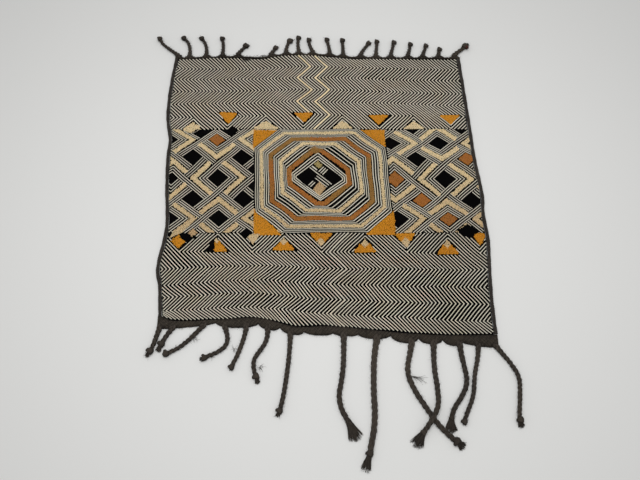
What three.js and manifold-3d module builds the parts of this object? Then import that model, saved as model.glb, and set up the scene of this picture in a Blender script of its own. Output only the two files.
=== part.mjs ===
// A raffia cloth of the Kuba kind, lying flat on a floor. Millimetres, +Z up.
// +X is the viewer's right, +Y runs from the long plaits to the short ones.
import * as THREE from 'three';
import { mergeVertices } from 'three/addons/utils/BufferGeometryUtils.js';
import Module from 'manifold-3d';

const wasm = await Module();
wasm.setup();

// Thicknesses
const GAP = 0.3;
const SEAM_GAP = 0.6;
const CLOTH_THICKNESS = 2.2;
const PILE_TOP = 3.2;
const PILE_FOOT = 1.0;
const HEADING_THICKNESS = 2.6;

// Rolled side bindings
const BINDING_WIDTH = 8;
const BINDING_HEIGHT = 4.6;
const BINDING_STEPS = 46;
const BINDING_UNEVEN = 0.07;

// Plaits
const PLAIT_HEIGHT = 5.6;
const PLAIT_STEP = 5.5;
const PLAIT_ROOT_INSET = 6;
const PLAIT_CLEARANCE = 0.6;
const CROSSING_REACH = 42;
const CROSSING_CREST = 0.3;
const KNOT_SPREAD = 5;
const KNOT_WIDENS = 0.5;
const KNOT_RISES = 0.45;
const TAIL_WIDTH = 0.55;
const TAIL_HEIGHT = 0.6;
const FAN_LENGTH = 26;
const FAN_WIDENS = 1.1;
const FAN_FLATTENS = 0.4;

// Grid of the panel's upper face
const PANEL_COLUMNS = 32;
const PANEL_ROWS = 34;

// All places below are measured from the centre of the eight-sided medallion.
// Outer edges of the side bindings, from the near end to the far one.
const LEFT_EDGE = [
  { y: -330, x: -288 },
  { y: -292, x: -288 },
  { y: -225, x: -294 },
  { y: -190, x: -301 },
  { y: -105, x: -292 },
  { y: -20, x: -299 },
  { y: 50, x: -303 },
  { y: 90, x: -302 },
  { y: 142, x: -311 },
  { y: 205, x: -312 },
  { y: 258, x: -309 },
  { y: 320, x: -303 },
];
const RIGHT_EDGE = [
  { y: -345, x: 309 },
  { y: -256, x: 307 },
  { y: -190, x: 309 },
  { y: -130, x: 312 },
  { y: -75, x: 308 },
  { y: -37, x: 310 },
  { y: 50, x: 302 },
  { y: 120, x: 299 },
  { y: 200, x: 295 },
  { y: 320, x: 289 },
];

// Lines where the embroidered ground meets the dark headings.
const FAR_LINE = [
  { x: -320, y: 292 },
  { x: -245, y: 296 },
  { x: -185, y: 298 },
  { x: -125, y: 296 },
  { x: -75, y: 304 },
  { x: -10, y: 304 },
  { x: 30, y: 300 },
  { x: 75, y: 296 },
  { x: 320, y: 294 },
];
const NEAR_LINE = [
  { x: -310, y: -272 },
  { x: -288, y: -279 },
  { x: -262, y: -290 },
  { x: -185, y: -288 },
  { x: -110, y: -285 },
  { x: -46, y: -301 },
  { x: 14, y: -300 },
  { x: 87, y: -307 },
  { x: 144, y: -313 },
  { x: 222, y: -317 },
  { x: 320, y: -316 },
];

// Scallops of the near heading: each notch, and how far the lobe to its right bulges past it.
const NEAR_SCALLOPS = [
  { x: -291, y: -304, bulge: 4 },
  { x: -186, y: -294, bulge: 9 },
  { x: -111, y: -295, bulge: 9 },
  { x: -73, y: -302, bulge: 10 },
  { x: -31, y: -310, bulge: 6 },
  { x: 20, y: -313, bulge: 5 },
  { x: 64, y: -315, bulge: 8 },
  { x: 121, y: -317, bulge: 12 },
  { x: 169, y: -322, bulge: 10 },
  { x: 211, y: -325, bulge: 9 },
  { x: 246, y: -330, bulge: 4 },
  { x: 306, y: -338, bulge: 0 },
];
const FAR_BAND = 4;
const FAR_PEAK = 9;
const FAR_PEAK_SPREAD = 12;
const SCALLOP_STEP = 4;

// Short plaits of the far edge. Leans are degrees off straight ahead, positive to the right.
const FAR_PLAITS = [
  { x: -300, length: 69, root: -50, middle: -50, tip: -15, width: 7, knot: 8 },
  { x: -276, length: 56, root: 5, middle: -20, tip: -60, width: 7, knot: 8 },
  { x: -241, length: 52, root: 3, middle: -18, tip: -50, width: 7, knot: 8 },
  { x: -207, length: 47, root: 6, middle: -6, tip: -16, width: 7, knot: 8 },
  { x: -174, length: 33, root: 34, middle: 38, tip: 46, width: 7, knot: 9 },
  { x: -104, length: 24, root: 32, middle: 32, tip: 32, width: 7, knot: 9 },
  { x: -74, length: 38, root: 0, middle: 22, tip: 42, width: 7, knot: 9 },
  { x: -47, length: 43, root: -12, middle: 0, tip: 18, width: 7, knot: 9 },
  { x: -18, length: 39, root: -28, middle: -12, tip: 8, width: 7, knot: 9 },
  { x: 18, length: 42, root: -7, middle: -11, tip: -14, width: 7, knot: 9 },
  { x: 46, length: 43, root: -1, middle: -2, tip: -3, width: 7, knot: 9 },
  { x: 83, length: 42, root: 24, middle: 33, tip: 42, width: 7, knot: 9 },
  { x: 115, length: 42, root: 5, middle: 5, tip: 5, width: 7, knot: 9 },
  { x: 146, length: 41, root: 14, middle: 14, tip: 14, width: 7, knot: 9 },
  { x: 182, length: 36, root: 18, middle: 12, tip: 6, width: 7, knot: 9 },
  { x: 213, length: 33, root: 22, middle: 18, tip: 14, width: 7, knot: 9 },
  { x: 246, length: 21, root: 13, middle: 13, tip: 13, width: 7, knot: 7 },
  { x: 280, length: 46, root: 44, middle: 52, tip: 22, width: 8, knot: 12 },
];

// Long plaits of the near edge, leans at even stations from root to tip.
const NEAR_PLAITS = [
  { x: -284, length: 56, leans: [-14, -14, -16, -24, -26], width: 8, knot: 13 },
  { x: -261, length: 43, leans: [-34, -32, -28, -18, 2], width: 8, knot: 10 },
  { x: -206, length: 79, leans: [-39, -42, -45, -60, -70], width: 8, knot: 6 },
  { x: -170, length: 85, leans: [24, 8, -48, -70, -54], width: 8, knot: 7 },
  { x: -132, length: 79, leans: [-4, -14, -18, -24, -22], width: 8, knot: 7 },
  { x: -94, length: 103, leans: [4, -12, -34, -34, 4, 18, 14], width: 8, knot: 9 },
  { x: -54, length: 150, leans: [-1, -4, -7, -9, -22], width: 8.5, knot: 12 },
  { x: 39, length: 186, leans: [0, -3, -12, 30, 24], width: 9, knot: 0 },
  { x: 97, length: 231, leans: [-12, -3, 2, -11, -18], width: 10, knot: 26 },
  { x: 157, length: 214, leans: [-9, -15, 20, 32, 32, 46, 54], width: 9, knot: 9 },
  { x: 195, length: 192, leans: [-5, -1, 7, -1, -30, -38, -18], width: 8.5, knot: 24 },
  { x: 240, length: 152, leans: [3, 9, 8, -26, -38, -20, -16], width: 8.5, knot: 9 },
  { x: 272, length: 144, leans: [-4, -16, -6, -26, -20], width: 8, knot: 7 },
  { x: 303, length: 152, leans: [36, 36, 28, -4, -8, -8, 20], width: 8, knot: 12 },
];
const PLAIT_UNDER = 9;
const PLAIT_OVER = 10;

// Interlace lattice: diamonds stand on every second crossing of half steps.
const HALF_STEP_X = 48.3;
const HALF_STEP_Y = 46.6;
const STEP_SQUEEZE = 0.95;
const BLOCK_SHIFT = -4;
const LEAN = -0.055;
const BLOCK_HALF_HEIGHT = 115.5;
const BLOCK_ROWS = 3;
const BLOCKS = [
  { name: 'left', first: -7, last: -2, phase: 0 },
  { name: 'right', first: 2, last: 7, phase: 1 },
];
// The far diamonds of this block have no bent bar beyond them.
const BARE_BLOCK = 'left';
const BARE_ROW = 2;
const DIAMOND_REACH = 0.36;
const BAR_WIDTH = 7.6;
const BAR_REACH = 0.74;
const FIELD_MARGIN = 2.5;
const FIELD_REACH = 170;

// Rings of the medallion: half extents and the distance of the slanting sides.
const MEDALLION_SHIFT = 1;
const SLANT = new THREE.Vector2(0.66, 0.751);
const OUTLINE = { halfWidth: 129, halfHeight: 115.5, slant: 142, width: 0 };
const RINGS = [
  { halfWidth: 116, halfHeight: 105, slant: 127, width: 6 },
  { halfWidth: 95.5, halfHeight: 88, slant: 107, width: 8.5 },
  { halfWidth: 76, halfHeight: 74, slant: 84, width: 6.5 },
  { halfWidth: 56, halfHeight: 59, slant: 57.5, width: 7.5 },
];
const HEART_DIAMONDS = [
  { x: -26, y: 5, halfWidth: 17, halfHeight: 16.5 },
  { x: 23, y: 5, halfWidth: 17, halfHeight: 16.5 },
  { x: -8, y: 30, halfWidth: 8, halfHeight: 9 },
  { x: -3, y: -20, halfWidth: 10, halfHeight: 13.5 },
];

// Plush triangles between the interlace and the herringbone fields.
const TRIANGLES = [
  { x: -187, base: 156, tip: 129, halfWidth: 20 },
  { x: -35, base: 156, tip: 134, halfWidth: 21 },
  { x: 116, base: 150, tip: 127, halfWidth: 21 },
  { x: 259, base: 150, tip: 127, halfWidth: 21 },
  { x: -256, base: 117, tip: 134, halfWidth: 19 },
  { x: -110, base: 117, tip: 136, halfWidth: 27 },
  { x: 42, base: 117, tip: 136, halfWidth: 21 },
  { x: 184, base: 117, tip: 135, halfWidth: 22 },
  { x: -193, base: -154, tip: -126, halfWidth: 22 },
  { x: -69, base: -152, tip: -126, halfWidth: 22 },
  { x: 81, base: -156, tip: -129, halfWidth: 22 },
  { x: 233, base: -160, tip: -132, halfWidth: 21 },
  { x: -129, base: -117, tip: -141, halfWidth: 20 },
  { x: -1, base: -117, tip: -143, halfWidth: 22 },
  { x: 157, base: -117, tip: -146, halfWidth: 22 },
  { x: -262, base: -117, tip: -146, halfWidth: 20 },
  { x: 291, base: -117, tip: -144, halfWidth: 20 },
];

const DARK_RAFFIA = new THREE.Color(0x3b3733);
const GROUND_RAFFIA = new THREE.Color(0x6f675a);

const material = (color, roughness) =>
  new THREE.MeshStandardMaterial({ color, roughness, metalness: 0 });

// Smooth curve through the rows of a table, with one named column against another.
function follow(rows, along, across) {
  const keys = rows.map((row) => row[along]);
  const values = rows.map((row) => row[across]);
  const slopes = values.map((value, k) => {
    const before = Math.max(k - 1, 0);
    const after = Math.min(k + 1, values.length - 1);
    return (values[after] - values[before]) / (keys[after] - keys[before]);
  });
  return (at) => {
    let k = 0;
    while (k < keys.length - 2 && at > keys[k + 1]) k += 1;
    const span = keys[k + 1] - keys[k];
    const t = THREE.MathUtils.clamp((at - keys[k]) / span, 0, 1);
    const rise = t * t * (3 - 2 * t);
    const start = t * (1 - t) * (1 - t) * span;
    const end = t * t * (t - 1) * span;
    return values[k] + (values[k + 1] - values[k]) * rise + slopes[k] * start + slopes[k + 1] * end;
  };
}

const leftEdge = follow(LEFT_EDGE, 'y', 'x');
const rightEdge = follow(RIGHT_EDGE, 'y', 'x');
const farLine = follow(FAR_LINE, 'x', 'y');
const nearLine = follow(NEAR_LINE, 'x', 'y');

// The cloth doesn't lie quite flat: its upper face swells and dips a little.
function swell(x, y) {
  return 0.3 * Math.sin(x / 88 + 0.8) * Math.cos(y / 105) + 0.2 * Math.sin((x + 1.4 * y) / 47);
}

// Solid from a closed geometry, and back
function solid(geometry) {
  const bare = geometry.clone();
  bare.deleteAttribute('normal');
  bare.deleteAttribute('uv');
  const welded = mergeVertices(bare, 1e-4);
  return new wasm.Manifold(new wasm.Mesh({
    numProp: 3,
    vertProperties: new Float32Array(welded.attributes.position.array),
    triVerts: new Uint32Array(welded.index.array),
  }));
}

function geometryOf(body) {
  const { vertProperties, triVerts, numProp } = body.getMesh();
  const geometry = new THREE.BufferGeometry();
  const places = new Float32Array((vertProperties.length / numProp) * 3);
  for (let k = 0; k < places.length / 3; k += 1) {
    for (let axis = 0; axis < 3; axis += 1) places[3 * k + axis] = vertProperties[numProp * k + axis];
  }
  geometry.setAttribute('position', new THREE.BufferAttribute(places, 3));
  geometry.setIndex(new THREE.BufferAttribute(new Uint32Array(triVerts), 1));
  geometry.computeVertexNormals();
  return geometry;
}

// Upright prism over a flat outline
function prism(points, bottom, top) {
  const shape = new THREE.Shape(points);
  const geometry = new THREE.ExtrudeGeometry(shape, { depth: top - bottom, bevelEnabled: false });
  return solid(geometry.translate(0, 0, bottom));
}

// Panel: a flat underside, an uneven upper face and a wall round its true outline
function panelPoint(s, t) {
  let x = THREE.MathUtils.lerp(leftEdge(0), rightEdge(0), s);
  let y = 0;
  for (let pass = 0; pass < 5; pass += 1) {
    y = THREE.MathUtils.lerp(nearLine(x), farLine(x), t);
    const inner = BINDING_WIDTH + SEAM_GAP;
    x = THREE.MathUtils.lerp(leftEdge(y) + inner, rightEdge(y) - inner, s);
  }
  return new THREE.Vector2(x, y);
}

function groundSheet() {
  const places = [];
  const faces = [];
  const across = PANEL_COLUMNS + 1;
  for (let row = 0; row <= PANEL_ROWS; row += 1) {
    for (let column = 0; column <= PANEL_COLUMNS; column += 1) {
      const { x, y } = panelPoint(column / PANEL_COLUMNS, row / PANEL_ROWS);
      places.push(x, y, CLOTH_THICKNESS + swell(x, y));
    }
  }
  for (let row = 0; row < PANEL_ROWS; row += 1) {
    for (let column = 0; column < PANEL_COLUMNS; column += 1) {
      const corner = row * across + column;
      faces.push(corner, corner + 1, corner + across + 1);
      faces.push(corner, corner + across + 1, corner + across);
    }
  }
  const rim = [];
  for (let k = 0; k < PANEL_COLUMNS; k += 1) rim.push(k);
  for (let k = 0; k < PANEL_ROWS; k += 1) rim.push(PANEL_COLUMNS + k * across);
  for (let k = 0; k < PANEL_COLUMNS; k += 1) rim.push(PANEL_ROWS * across + PANEL_COLUMNS - k);
  for (let k = 0; k < PANEL_ROWS; k += 1) rim.push((PANEL_ROWS - k) * across);
  const first = places.length / 3;
  const outline = rim.map((corner) => new THREE.Vector2(places[3 * corner], places[3 * corner + 1]));
  outline.forEach(({ x, y }) => places.push(x, y, 0));
  rim.forEach((corner, k) => {
    const next = (k + 1) % rim.length;
    faces.push(corner, first + k, first + next);
    faces.push(corner, first + next, rim[next]);
  });
  THREE.ShapeUtils.triangulateShape(outline, []).forEach(([a, b, c]) => {
    faces.push(first + a, first + c, first + b);
  });
  const geometry = new THREE.BufferGeometry();
  geometry.setAttribute('position', new THREE.Float32BufferAttribute(places, 3));
  geometry.setIndex(faces);
  return solid(geometry);
}

// Lattice place of half steps i to the right and j away, on the slightly leaning cloth
function latticePoint(i, j) {
  const y = HALF_STEP_Y * j - STEP_SQUEEZE * j ** 3;
  return new THREE.Vector2(HALF_STEP_X * i + BLOCK_SHIFT + LEAN * y, y);
}

const diamond = (i, j, reach) => [
  latticePoint(i + reach, j),
  latticePoint(i, j + reach),
  latticePoint(i - reach, j),
  latticePoint(i, j - reach),
];

// Bent plush bar with its point at one corner of a diamond cell and an arm along two sides
function bentBar(i, j, towardX, towardY) {
  const apex = latticePoint(i + towardX, j + towardY);
  const ends = [-1, 1].map((side) => {
    const corner = towardX ? latticePoint(i, j + side) : latticePoint(i + side, j);
    return apex.clone().lerp(corner, BAR_REACH);
  });
  const inward = latticePoint(i, j).sub(apex).normalize();
  const outline = [ends[0], apex, ends[1]];
  const shifted = (sign) => outline.map((point, k) => {
    if (k === 1) return point.clone().addScaledVector(inward, sign * BAR_WIDTH * Math.SQRT1_2);
    const along = apex.clone().sub(point).normalize();
    const across = new THREE.Vector2(-along.y, along.x);
    if (across.dot(inward) < 0) across.negate();
    return point.clone().addScaledVector(across, sign * BAR_WIDTH / 2);
  });
  const loop = [...shifted(-1), ...shifted(1).reverse()];
  return THREE.ShapeUtils.isClockWise(loop) ? loop.reverse() : loop;
}

// Every diamond cell is closed by bars left and right or near and far, turn and turn about.
function blockPads({ name, first, last, phase }) {
  const pads = [];
  for (let i = first; i <= last; i += 1) {
    for (let j = -BLOCK_ROWS; j <= BLOCK_ROWS; j += 1) {
      const u = (i - phase + j) / 2;
      const v = (j - i + phase) / 2;
      if (!Number.isInteger(u)) continue;
      pads.push(diamond(i, j, DIAMOND_REACH));
      if ((u + v) % 2 !== 0) continue;
      const sideways = u % 2 === 0;
      pads.push(bentBar(i, j, sideways ? -1 : 0, sideways ? 0 : -1));
      const bare = name === BARE_BLOCK && !sideways && j === BARE_ROW;
      if (!bare) pads.push(bentBar(i, j, sideways ? 1 : 0, sideways ? 0 : 1));
    }
  }
  return pads;
}

const medallionPoint = (x, y) => new THREE.Vector2(x + MEDALLION_SHIFT + LEAN * y, y);

// Eight-sided outline where a rectangle meets four slanting sides
function eightSides({ halfWidth, halfHeight, slant }, inset) {
  const width = halfWidth - inset;
  const height = halfHeight - inset;
  const reach = slant - inset;
  const sideTop = THREE.MathUtils.clamp((reach - SLANT.x * width) / SLANT.y, 0.5, height - 0.5);
  const topSide = THREE.MathUtils.clamp((reach - SLANT.y * height) / SLANT.x, 0.5, width - 0.5);
  return [
    [width, -sideTop], [width, sideTop], [topSide, height], [-topSide, height],
    [-width, sideTop], [-width, -sideTop], [-topSide, -height], [topSide, -height],
  ].map(([x, y]) => medallionPoint(x, y));
}

function ringPad(ring) {
  const outer = prism(eightSides(ring, -ring.width / 2), PILE_FOOT, PILE_TOP);
  const inner = prism(eightSides(ring, ring.width / 2), 0, PILE_TOP + 1);
  return outer.subtract(inner);
}

// Plush corners that fill the four notches of the medallion
function cornerPads() {
  const { halfWidth, halfHeight, slant } = OUTLINE;
  const sideTop = (slant - SLANT.x * halfWidth) / SLANT.y;
  const topSide = (slant - SLANT.y * halfHeight) / SLANT.x;
  const pads = [];
  [-1, 1].forEach((sideX) => {
    [-1, 1].forEach((sideY) => {
      const points = [
        medallionPoint(sideX * halfWidth, sideY * (sideTop + 4)),
        medallionPoint(sideX * halfWidth, sideY * (halfHeight - 1)),
        medallionPoint(sideX * (topSide + 4), sideY * (halfHeight - 1)),
      ];
      pads.push(THREE.ShapeUtils.isClockWise(points) ? points.reverse() : points);
    });
  });
  return pads;
}

// Band of the panel between two heights, a little inside the bindings
function fieldPrism(lowest, highest) {
  const heights = [0, 0.2, 0.4, 0.6, 0.8, 1].map((t) => THREE.MathUtils.lerp(lowest, highest, t));
  const inner = BINDING_WIDTH + FIELD_MARGIN;
  const points = [
    ...heights.map((y) => new THREE.Vector2(rightEdge(y) - inner, y)),
    ...heights.reverse().map((y) => new THREE.Vector2(leftEdge(y) + inner, y)),
  ];
  return prism(points, 0, PILE_TOP + 1);
}

function panelBody() {
  const corners = cornerPads();
  const keepOut = [prism(eightSides(OUTLINE, 0), 0, PILE_TOP + 1)];
  corners.forEach((pad) => keepOut.push(prism(pad, 0, PILE_TOP + 1)));
  const blocks = wasm.Manifold.union(
    BLOCKS.flatMap(blockPads).map((pad) => prism(pad, PILE_FOOT, PILE_TOP)),
  ).intersect(fieldPrism(-BLOCK_HALF_HEIGHT, BLOCK_HALF_HEIGHT)).subtract(wasm.Manifold.union(keepOut));
  const pads = [blocks, ...RINGS.map(ringPad)];
  corners.forEach((pad) => pads.push(prism(pad, PILE_FOOT, PILE_TOP)));
  TRIANGLES.forEach(({ x, base, tip, halfWidth }) => {
    const points = [
      new THREE.Vector2(x - halfWidth, base),
      new THREE.Vector2(x + halfWidth, base),
      new THREE.Vector2(x, tip),
    ];
    if (THREE.ShapeUtils.isClockWise(points)) points.reverse();
    pads.push(prism(points, PILE_FOOT, PILE_TOP).intersect(fieldPrism(-FIELD_REACH, FIELD_REACH)));
  });
  HEART_DIAMONDS.forEach(({ x, y, halfWidth, halfHeight }) => {
    const points = [[halfWidth, 0], [0, halfHeight], [-halfWidth, 0], [0, -halfHeight]];
    pads.push(prism(points.map(([dx, dy]) => medallionPoint(x + dx, y + dy)), PILE_FOOT, PILE_TOP));
  });
  return wasm.Manifold.union([groundSheet(), ...pads]);
}

// Loft of a flat-bottomed section along stations { x, y, z, width, height }
function strand(stations, section) {
  const places = [];
  const faces = [];
  const sides = section.length;
  stations.forEach((station, k) => {
    const before = stations[Math.max(k - 1, 0)];
    const after = stations[Math.min(k + 1, stations.length - 1)];
    const along = new THREE.Vector2(after.x - before.x, after.y - before.y).normalize();
    section.forEach(([across, up]) => {
      places.push(
        station.x + along.y * across * station.width / 2,
        station.y - along.x * across * station.width / 2,
        station.z + up * station.height,
      );
    });
  });
  for (let k = 0; k < stations.length - 1; k += 1) {
    for (let side = 0; side < sides; side += 1) {
      const a = k * sides + side;
      const b = k * sides + ((side + 1) % sides);
      faces.push(a, b, b + sides, a, b + sides, a + sides);
    }
  }
  const last = (stations.length - 1) * sides;
  for (let side = 1; side < sides - 1; side += 1) {
    faces.push(0, side + 1, side);
    faces.push(last, last + side, last + side + 1);
  }
  const geometry = new THREE.BufferGeometry();
  geometry.setAttribute('position', new THREE.Float32BufferAttribute(places, 3));
  geometry.setIndex(faces);
  return geometry;
}

const PLAIT_SECTION = [[1, 0], [-1, 0], [-0.62, 1], [0.62, 1]];
const BINDING_SECTION = [[0.8, 0], [-0.8, 0], [-1, 0.45], [-0.5, 1], [0.5, 1], [1, 0.45]];

// Lean at a fraction of the length, from leans at even stations
function leanAt(leans, fraction) {
  const place = THREE.MathUtils.clamp(fraction, 0, 1) * (leans.length - 1);
  const k = Math.min(Math.floor(place), leans.length - 2);
  return THREE.MathUtils.lerp(leans[k], leans[k + 1], place - k);
}

// Stations of a plait lying on the floor, from inside its heading to its frayed tip
function plaitRoute({ x, length, leans, width, knot }, rootY, direction) {
  const steps = Math.max(Math.ceil((length + PLAIT_ROOT_INSET) / PLAIT_STEP), 6);
  const step = (length + PLAIT_ROOT_INSET) / steps;
  const lean = (distance) => THREE.MathUtils.degToRad(leanAt(leans, distance / length));
  const start = lean(0);
  const place = {
    x: x - Math.sin(start) * PLAIT_ROOT_INSET,
    y: rootY - direction * Math.cos(start) * PLAIT_ROOT_INSET,
  };
  const stations = [];
  for (let k = 0; k <= steps; k += 1) {
    const distance = k * step - PLAIT_ROOT_INSET;
    const toTip = length - distance;
    const bulge = knot ? Math.exp(-(((toTip - knot) / KNOT_SPREAD) ** 2)) : 0;
    const tail = knot ? THREE.MathUtils.smoothstep(toTip, -4, knot) : 1;
    const fan = knot ? 0 : THREE.MathUtils.smoothstep(-toTip, -FAN_LENGTH, 0);
    const broad = (1 + KNOT_WIDENS * bulge) * (1 + FAN_WIDENS * fan);
    const tall = (1 + KNOT_RISES * bulge) * (1 - FAN_FLATTENS * fan);
    stations.push({
      x: place.x,
      y: place.y,
      z: 0,
      distance,
      width: width * broad * THREE.MathUtils.lerp(TAIL_WIDTH, 1, tail),
      height: PLAIT_HEIGHT * tall * THREE.MathUtils.lerp(TAIL_HEIGHT, 1, tail),
    });
    const heading = lean(distance + step / 2);
    place.x += Math.sin(heading) * step;
    place.y += direction * Math.cos(heading) * step;
  }
  return stations;
}

// Where one route passes over another, and the long low hump that carries it across
function liftOver(upper, lower) {
  let crossing = { gap: Infinity };
  upper.forEach((a) => lower.forEach((b) => {
    const gap = Math.hypot(a.x - b.x, a.y - b.y);
    if (gap < crossing.gap) crossing = { gap, distance: a.distance };
  }));
  const rise = PLAIT_HEIGHT + PLAIT_CLEARANCE;
  upper.forEach((station) => {
    const t = Math.abs(station.distance - crossing.distance) / CROSSING_REACH;
    station.z = rise * (1 - THREE.MathUtils.smoothstep(t, CROSSING_CREST, 1));
  });
}

// Heading strips: an outline between the cloth's edge line and the scalloped outer line
function farScallop(x) {
  const peak = Math.max(...FAR_PLAITS.map((plait) => {
    const t = Math.min(Math.abs(x - plait.x) / FAR_PEAK_SPREAD, 1);
    return 0.5 + 0.5 * Math.cos(Math.PI * t);
  }));
  return farLine(x) + FAR_BAND + (FAR_PEAK - FAR_BAND) * peak;
}

function nearScallop(x) {
  let k = 0;
  while (k < NEAR_SCALLOPS.length - 2 && x > NEAR_SCALLOPS[k + 1].x) k += 1;
  const from = NEAR_SCALLOPS[k];
  const to = NEAR_SCALLOPS[k + 1];
  const t = THREE.MathUtils.clamp((x - from.x) / (to.x - from.x), 0, 1);
  const bow = Math.sqrt(Math.max(0, 1 - (2 * t - 1) ** 2));
  return THREE.MathUtils.lerp(from.y, to.y, t) - from.bulge * bow;
}

// Row 0 of the panel's grid is its near edge and row 1 its far one; offset clears the cloth.
function headingOutline(row, offset, outer, start, end) {
  const points = [];
  const count = Math.round((end - start) / SCALLOP_STEP);
  for (let k = 0; k <= count; k += 1) {
    const x = THREE.MathUtils.lerp(start, end, k / count);
    points.push(new THREE.Vector2(x, outer(x)));
  }
  const inner = [];
  for (let column = 0; column <= PANEL_COLUMNS; column += 1) {
    const point = panelPoint(column / PANEL_COLUMNS, row);
    inner.push(point.setY(point.y + offset));
  }
  inner.unshift(new THREE.Vector2(start, inner[0].y));
  inner.push(new THREE.Vector2(end, inner[PANEL_COLUMNS + 1].y));
  points.push(...inner.reverse());
  return THREE.ShapeUtils.isClockWise(points) ? points.reverse() : points;
}

function fringeBody(heading, routes) {
  const strands = routes.map((stations) => solid(strand(stations, PLAIT_SECTION)));
  return wasm.Manifold.union([prism(heading, 0, HEADING_THICKNESS), ...strands]);
}

function farFringe() {
  const start = leftEdge(panelPoint(0, 1).y);
  const end = rightEdge(panelPoint(1, 1).y);
  const heading = headingOutline(1, GAP, farScallop, start, end);
  const routes = FAR_PLAITS.map((plait) => {
    const leans = [plait.root, plait.middle, plait.tip];
    return plaitRoute({ ...plait, leans }, farScallop(plait.x) - 1, 1);
  });
  return fringeBody(heading, routes);
}

function nearFringe() {
  const start = leftEdge(panelPoint(0, 0).y);
  const end = rightEdge(panelPoint(1, 0).y);
  const heading = headingOutline(0, -GAP, nearScallop, start, end);
  const routes = NEAR_PLAITS.map((plait) => plaitRoute(plait, nearScallop(plait.x) + 1, -1));
  liftOver(routes[PLAIT_OVER], routes[PLAIT_UNDER]);
  return fringeBody(heading, routes);
}

// Rolled binding along one side, between the two headings
function bindingGeometry(edge, side) {
  const inward = -side * BINDING_WIDTH / 2;
  const column = side < 0 ? 0 : 1;
  const nearEnd = panelPoint(column, 0).y + SEAM_GAP;
  const farEnd = panelPoint(column, 1).y - SEAM_GAP;
  const stations = [];
  for (let k = 0; k <= BINDING_STEPS; k += 1) {
    const y = THREE.MathUtils.lerp(nearEnd, farEnd, k / BINDING_STEPS);
    const puff = 1 - BINDING_UNEVEN * (1 + Math.sin(k * 1.9));
    stations.push({
      x: edge(y) + inward,
      y,
      z: 0,
      width: BINDING_WIDTH,
      height: BINDING_HEIGHT * puff,
    });
  }
  return strand(stations, BINDING_SECTION);
}

const cloth = new THREE.Group();
const pieces = [
  ['panel', geometryOf(panelBody()), material(GROUND_RAFFIA, 0.85)],
  ['binding_left', bindingGeometry(leftEdge, -1), material(DARK_RAFFIA, 0.9)],
  ['binding_right', bindingGeometry(rightEdge, 1), material(DARK_RAFFIA, 0.9)],
  ['fringe_top', geometryOf(farFringe()), material(DARK_RAFFIA, 0.9)],
  ['fringe_bottom', geometryOf(nearFringe()), material(DARK_RAFFIA, 0.9)],
];
pieces.forEach(([name, geometry, finish]) => {
  const mesh = new THREE.Mesh(geometry, finish);
  mesh.name = name;
  cloth.add(mesh);
});

// The part's origin is the middle of its footprint, on the floor.
const box = new THREE.Box3().setFromObject(cloth);
const middle = box.getCenter(new THREE.Vector3());
cloth.position.set(-middle.x, -middle.y, -box.min.z);

const part = new THREE.Group();
part.add(cloth);

export default part;
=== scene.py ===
"""Looks of a raffia cloth that lies flat on a floor.

The cloth has a dark ground, rows of pale and dark embroidery, plush cut-pile pads, rolled side
bindings, scalloped headings and three-strand plaits at both ends. Sizes in the tables are
millimetres, measured from the middle of the eight-sided medallion: +X is the viewer's right and
+Y runs from the long plaits to the short ones.
"""

import logging
import math
from collections.abc import Callable, Iterable, Sequence
from dataclasses import dataclass, field
from enum import Enum

import bpy
import numpy as np
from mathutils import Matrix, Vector

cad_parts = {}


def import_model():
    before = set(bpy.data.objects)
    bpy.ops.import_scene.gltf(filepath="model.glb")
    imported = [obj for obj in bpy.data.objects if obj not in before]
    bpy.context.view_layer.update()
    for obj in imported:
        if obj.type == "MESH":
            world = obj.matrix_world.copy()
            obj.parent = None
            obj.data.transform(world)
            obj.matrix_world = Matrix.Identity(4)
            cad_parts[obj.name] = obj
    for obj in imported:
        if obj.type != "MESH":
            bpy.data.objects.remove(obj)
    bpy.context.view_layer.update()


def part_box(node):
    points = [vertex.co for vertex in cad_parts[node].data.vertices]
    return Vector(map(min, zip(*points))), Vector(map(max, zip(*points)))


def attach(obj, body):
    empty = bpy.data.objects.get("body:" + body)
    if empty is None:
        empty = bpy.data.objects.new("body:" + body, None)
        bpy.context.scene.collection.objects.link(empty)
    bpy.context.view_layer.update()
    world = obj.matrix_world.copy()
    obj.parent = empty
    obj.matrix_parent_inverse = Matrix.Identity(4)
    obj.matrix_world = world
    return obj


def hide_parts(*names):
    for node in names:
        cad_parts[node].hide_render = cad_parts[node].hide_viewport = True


LOG = logging.getLogger("raffia_cloth")
MM = 0.001
SEED = 11
TINY = 1e-9
TOUCHING = 1e-6
# cosine of the smallest turn that counts as a corner
STRAIGHT = 0.9995
# strands stay this far above the floor, in millimetres
FLOOR_GAP = 0.03
# points that a stretch of a row needs
FEWEST = 3
Values = float | np.ndarray
Range = tuple[float, float]
Table = tuple[tuple[float, ...], ...]
Mask = Callable[[np.ndarray, np.ndarray], np.ndarray]


class Tone(Enum):
    """Dyes of the raffia."""

    PALE = "pale"
    DARK = "dark"
    CREAM = "cream"
    GOLD = "gold"
    BROWN = "brown"
    BLACK = "black"
    OLIVE = "olive"
    OCHRE = "ochre"
    BEIGE = "beige"


class End(Enum):
    """The two ends of the cloth that carry plaits, by the way their plaits point along Y."""

    FAR = 1
    NEAR = -1


def lerp(start: Values, end: Values, share: Values) -> Values:
    """Value at a share of the way from start to end."""
    return start + (end - start) * share


def smoothstep(value: Values, low: float, high: float) -> Values:
    """Smooth rise from 0 at low to 1 at high."""
    share = np.clip((value - low) / (high - low), 0, 1)
    return share * share * (3 - 2 * share)


def unit(vectors: np.ndarray, least: float = TINY) -> np.ndarray:
    """Vectors brought to length one, but for those shorter than least."""
    return vectors / np.maximum(np.linalg.norm(vectors, axis=-1, keepdims=True), least)


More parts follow.
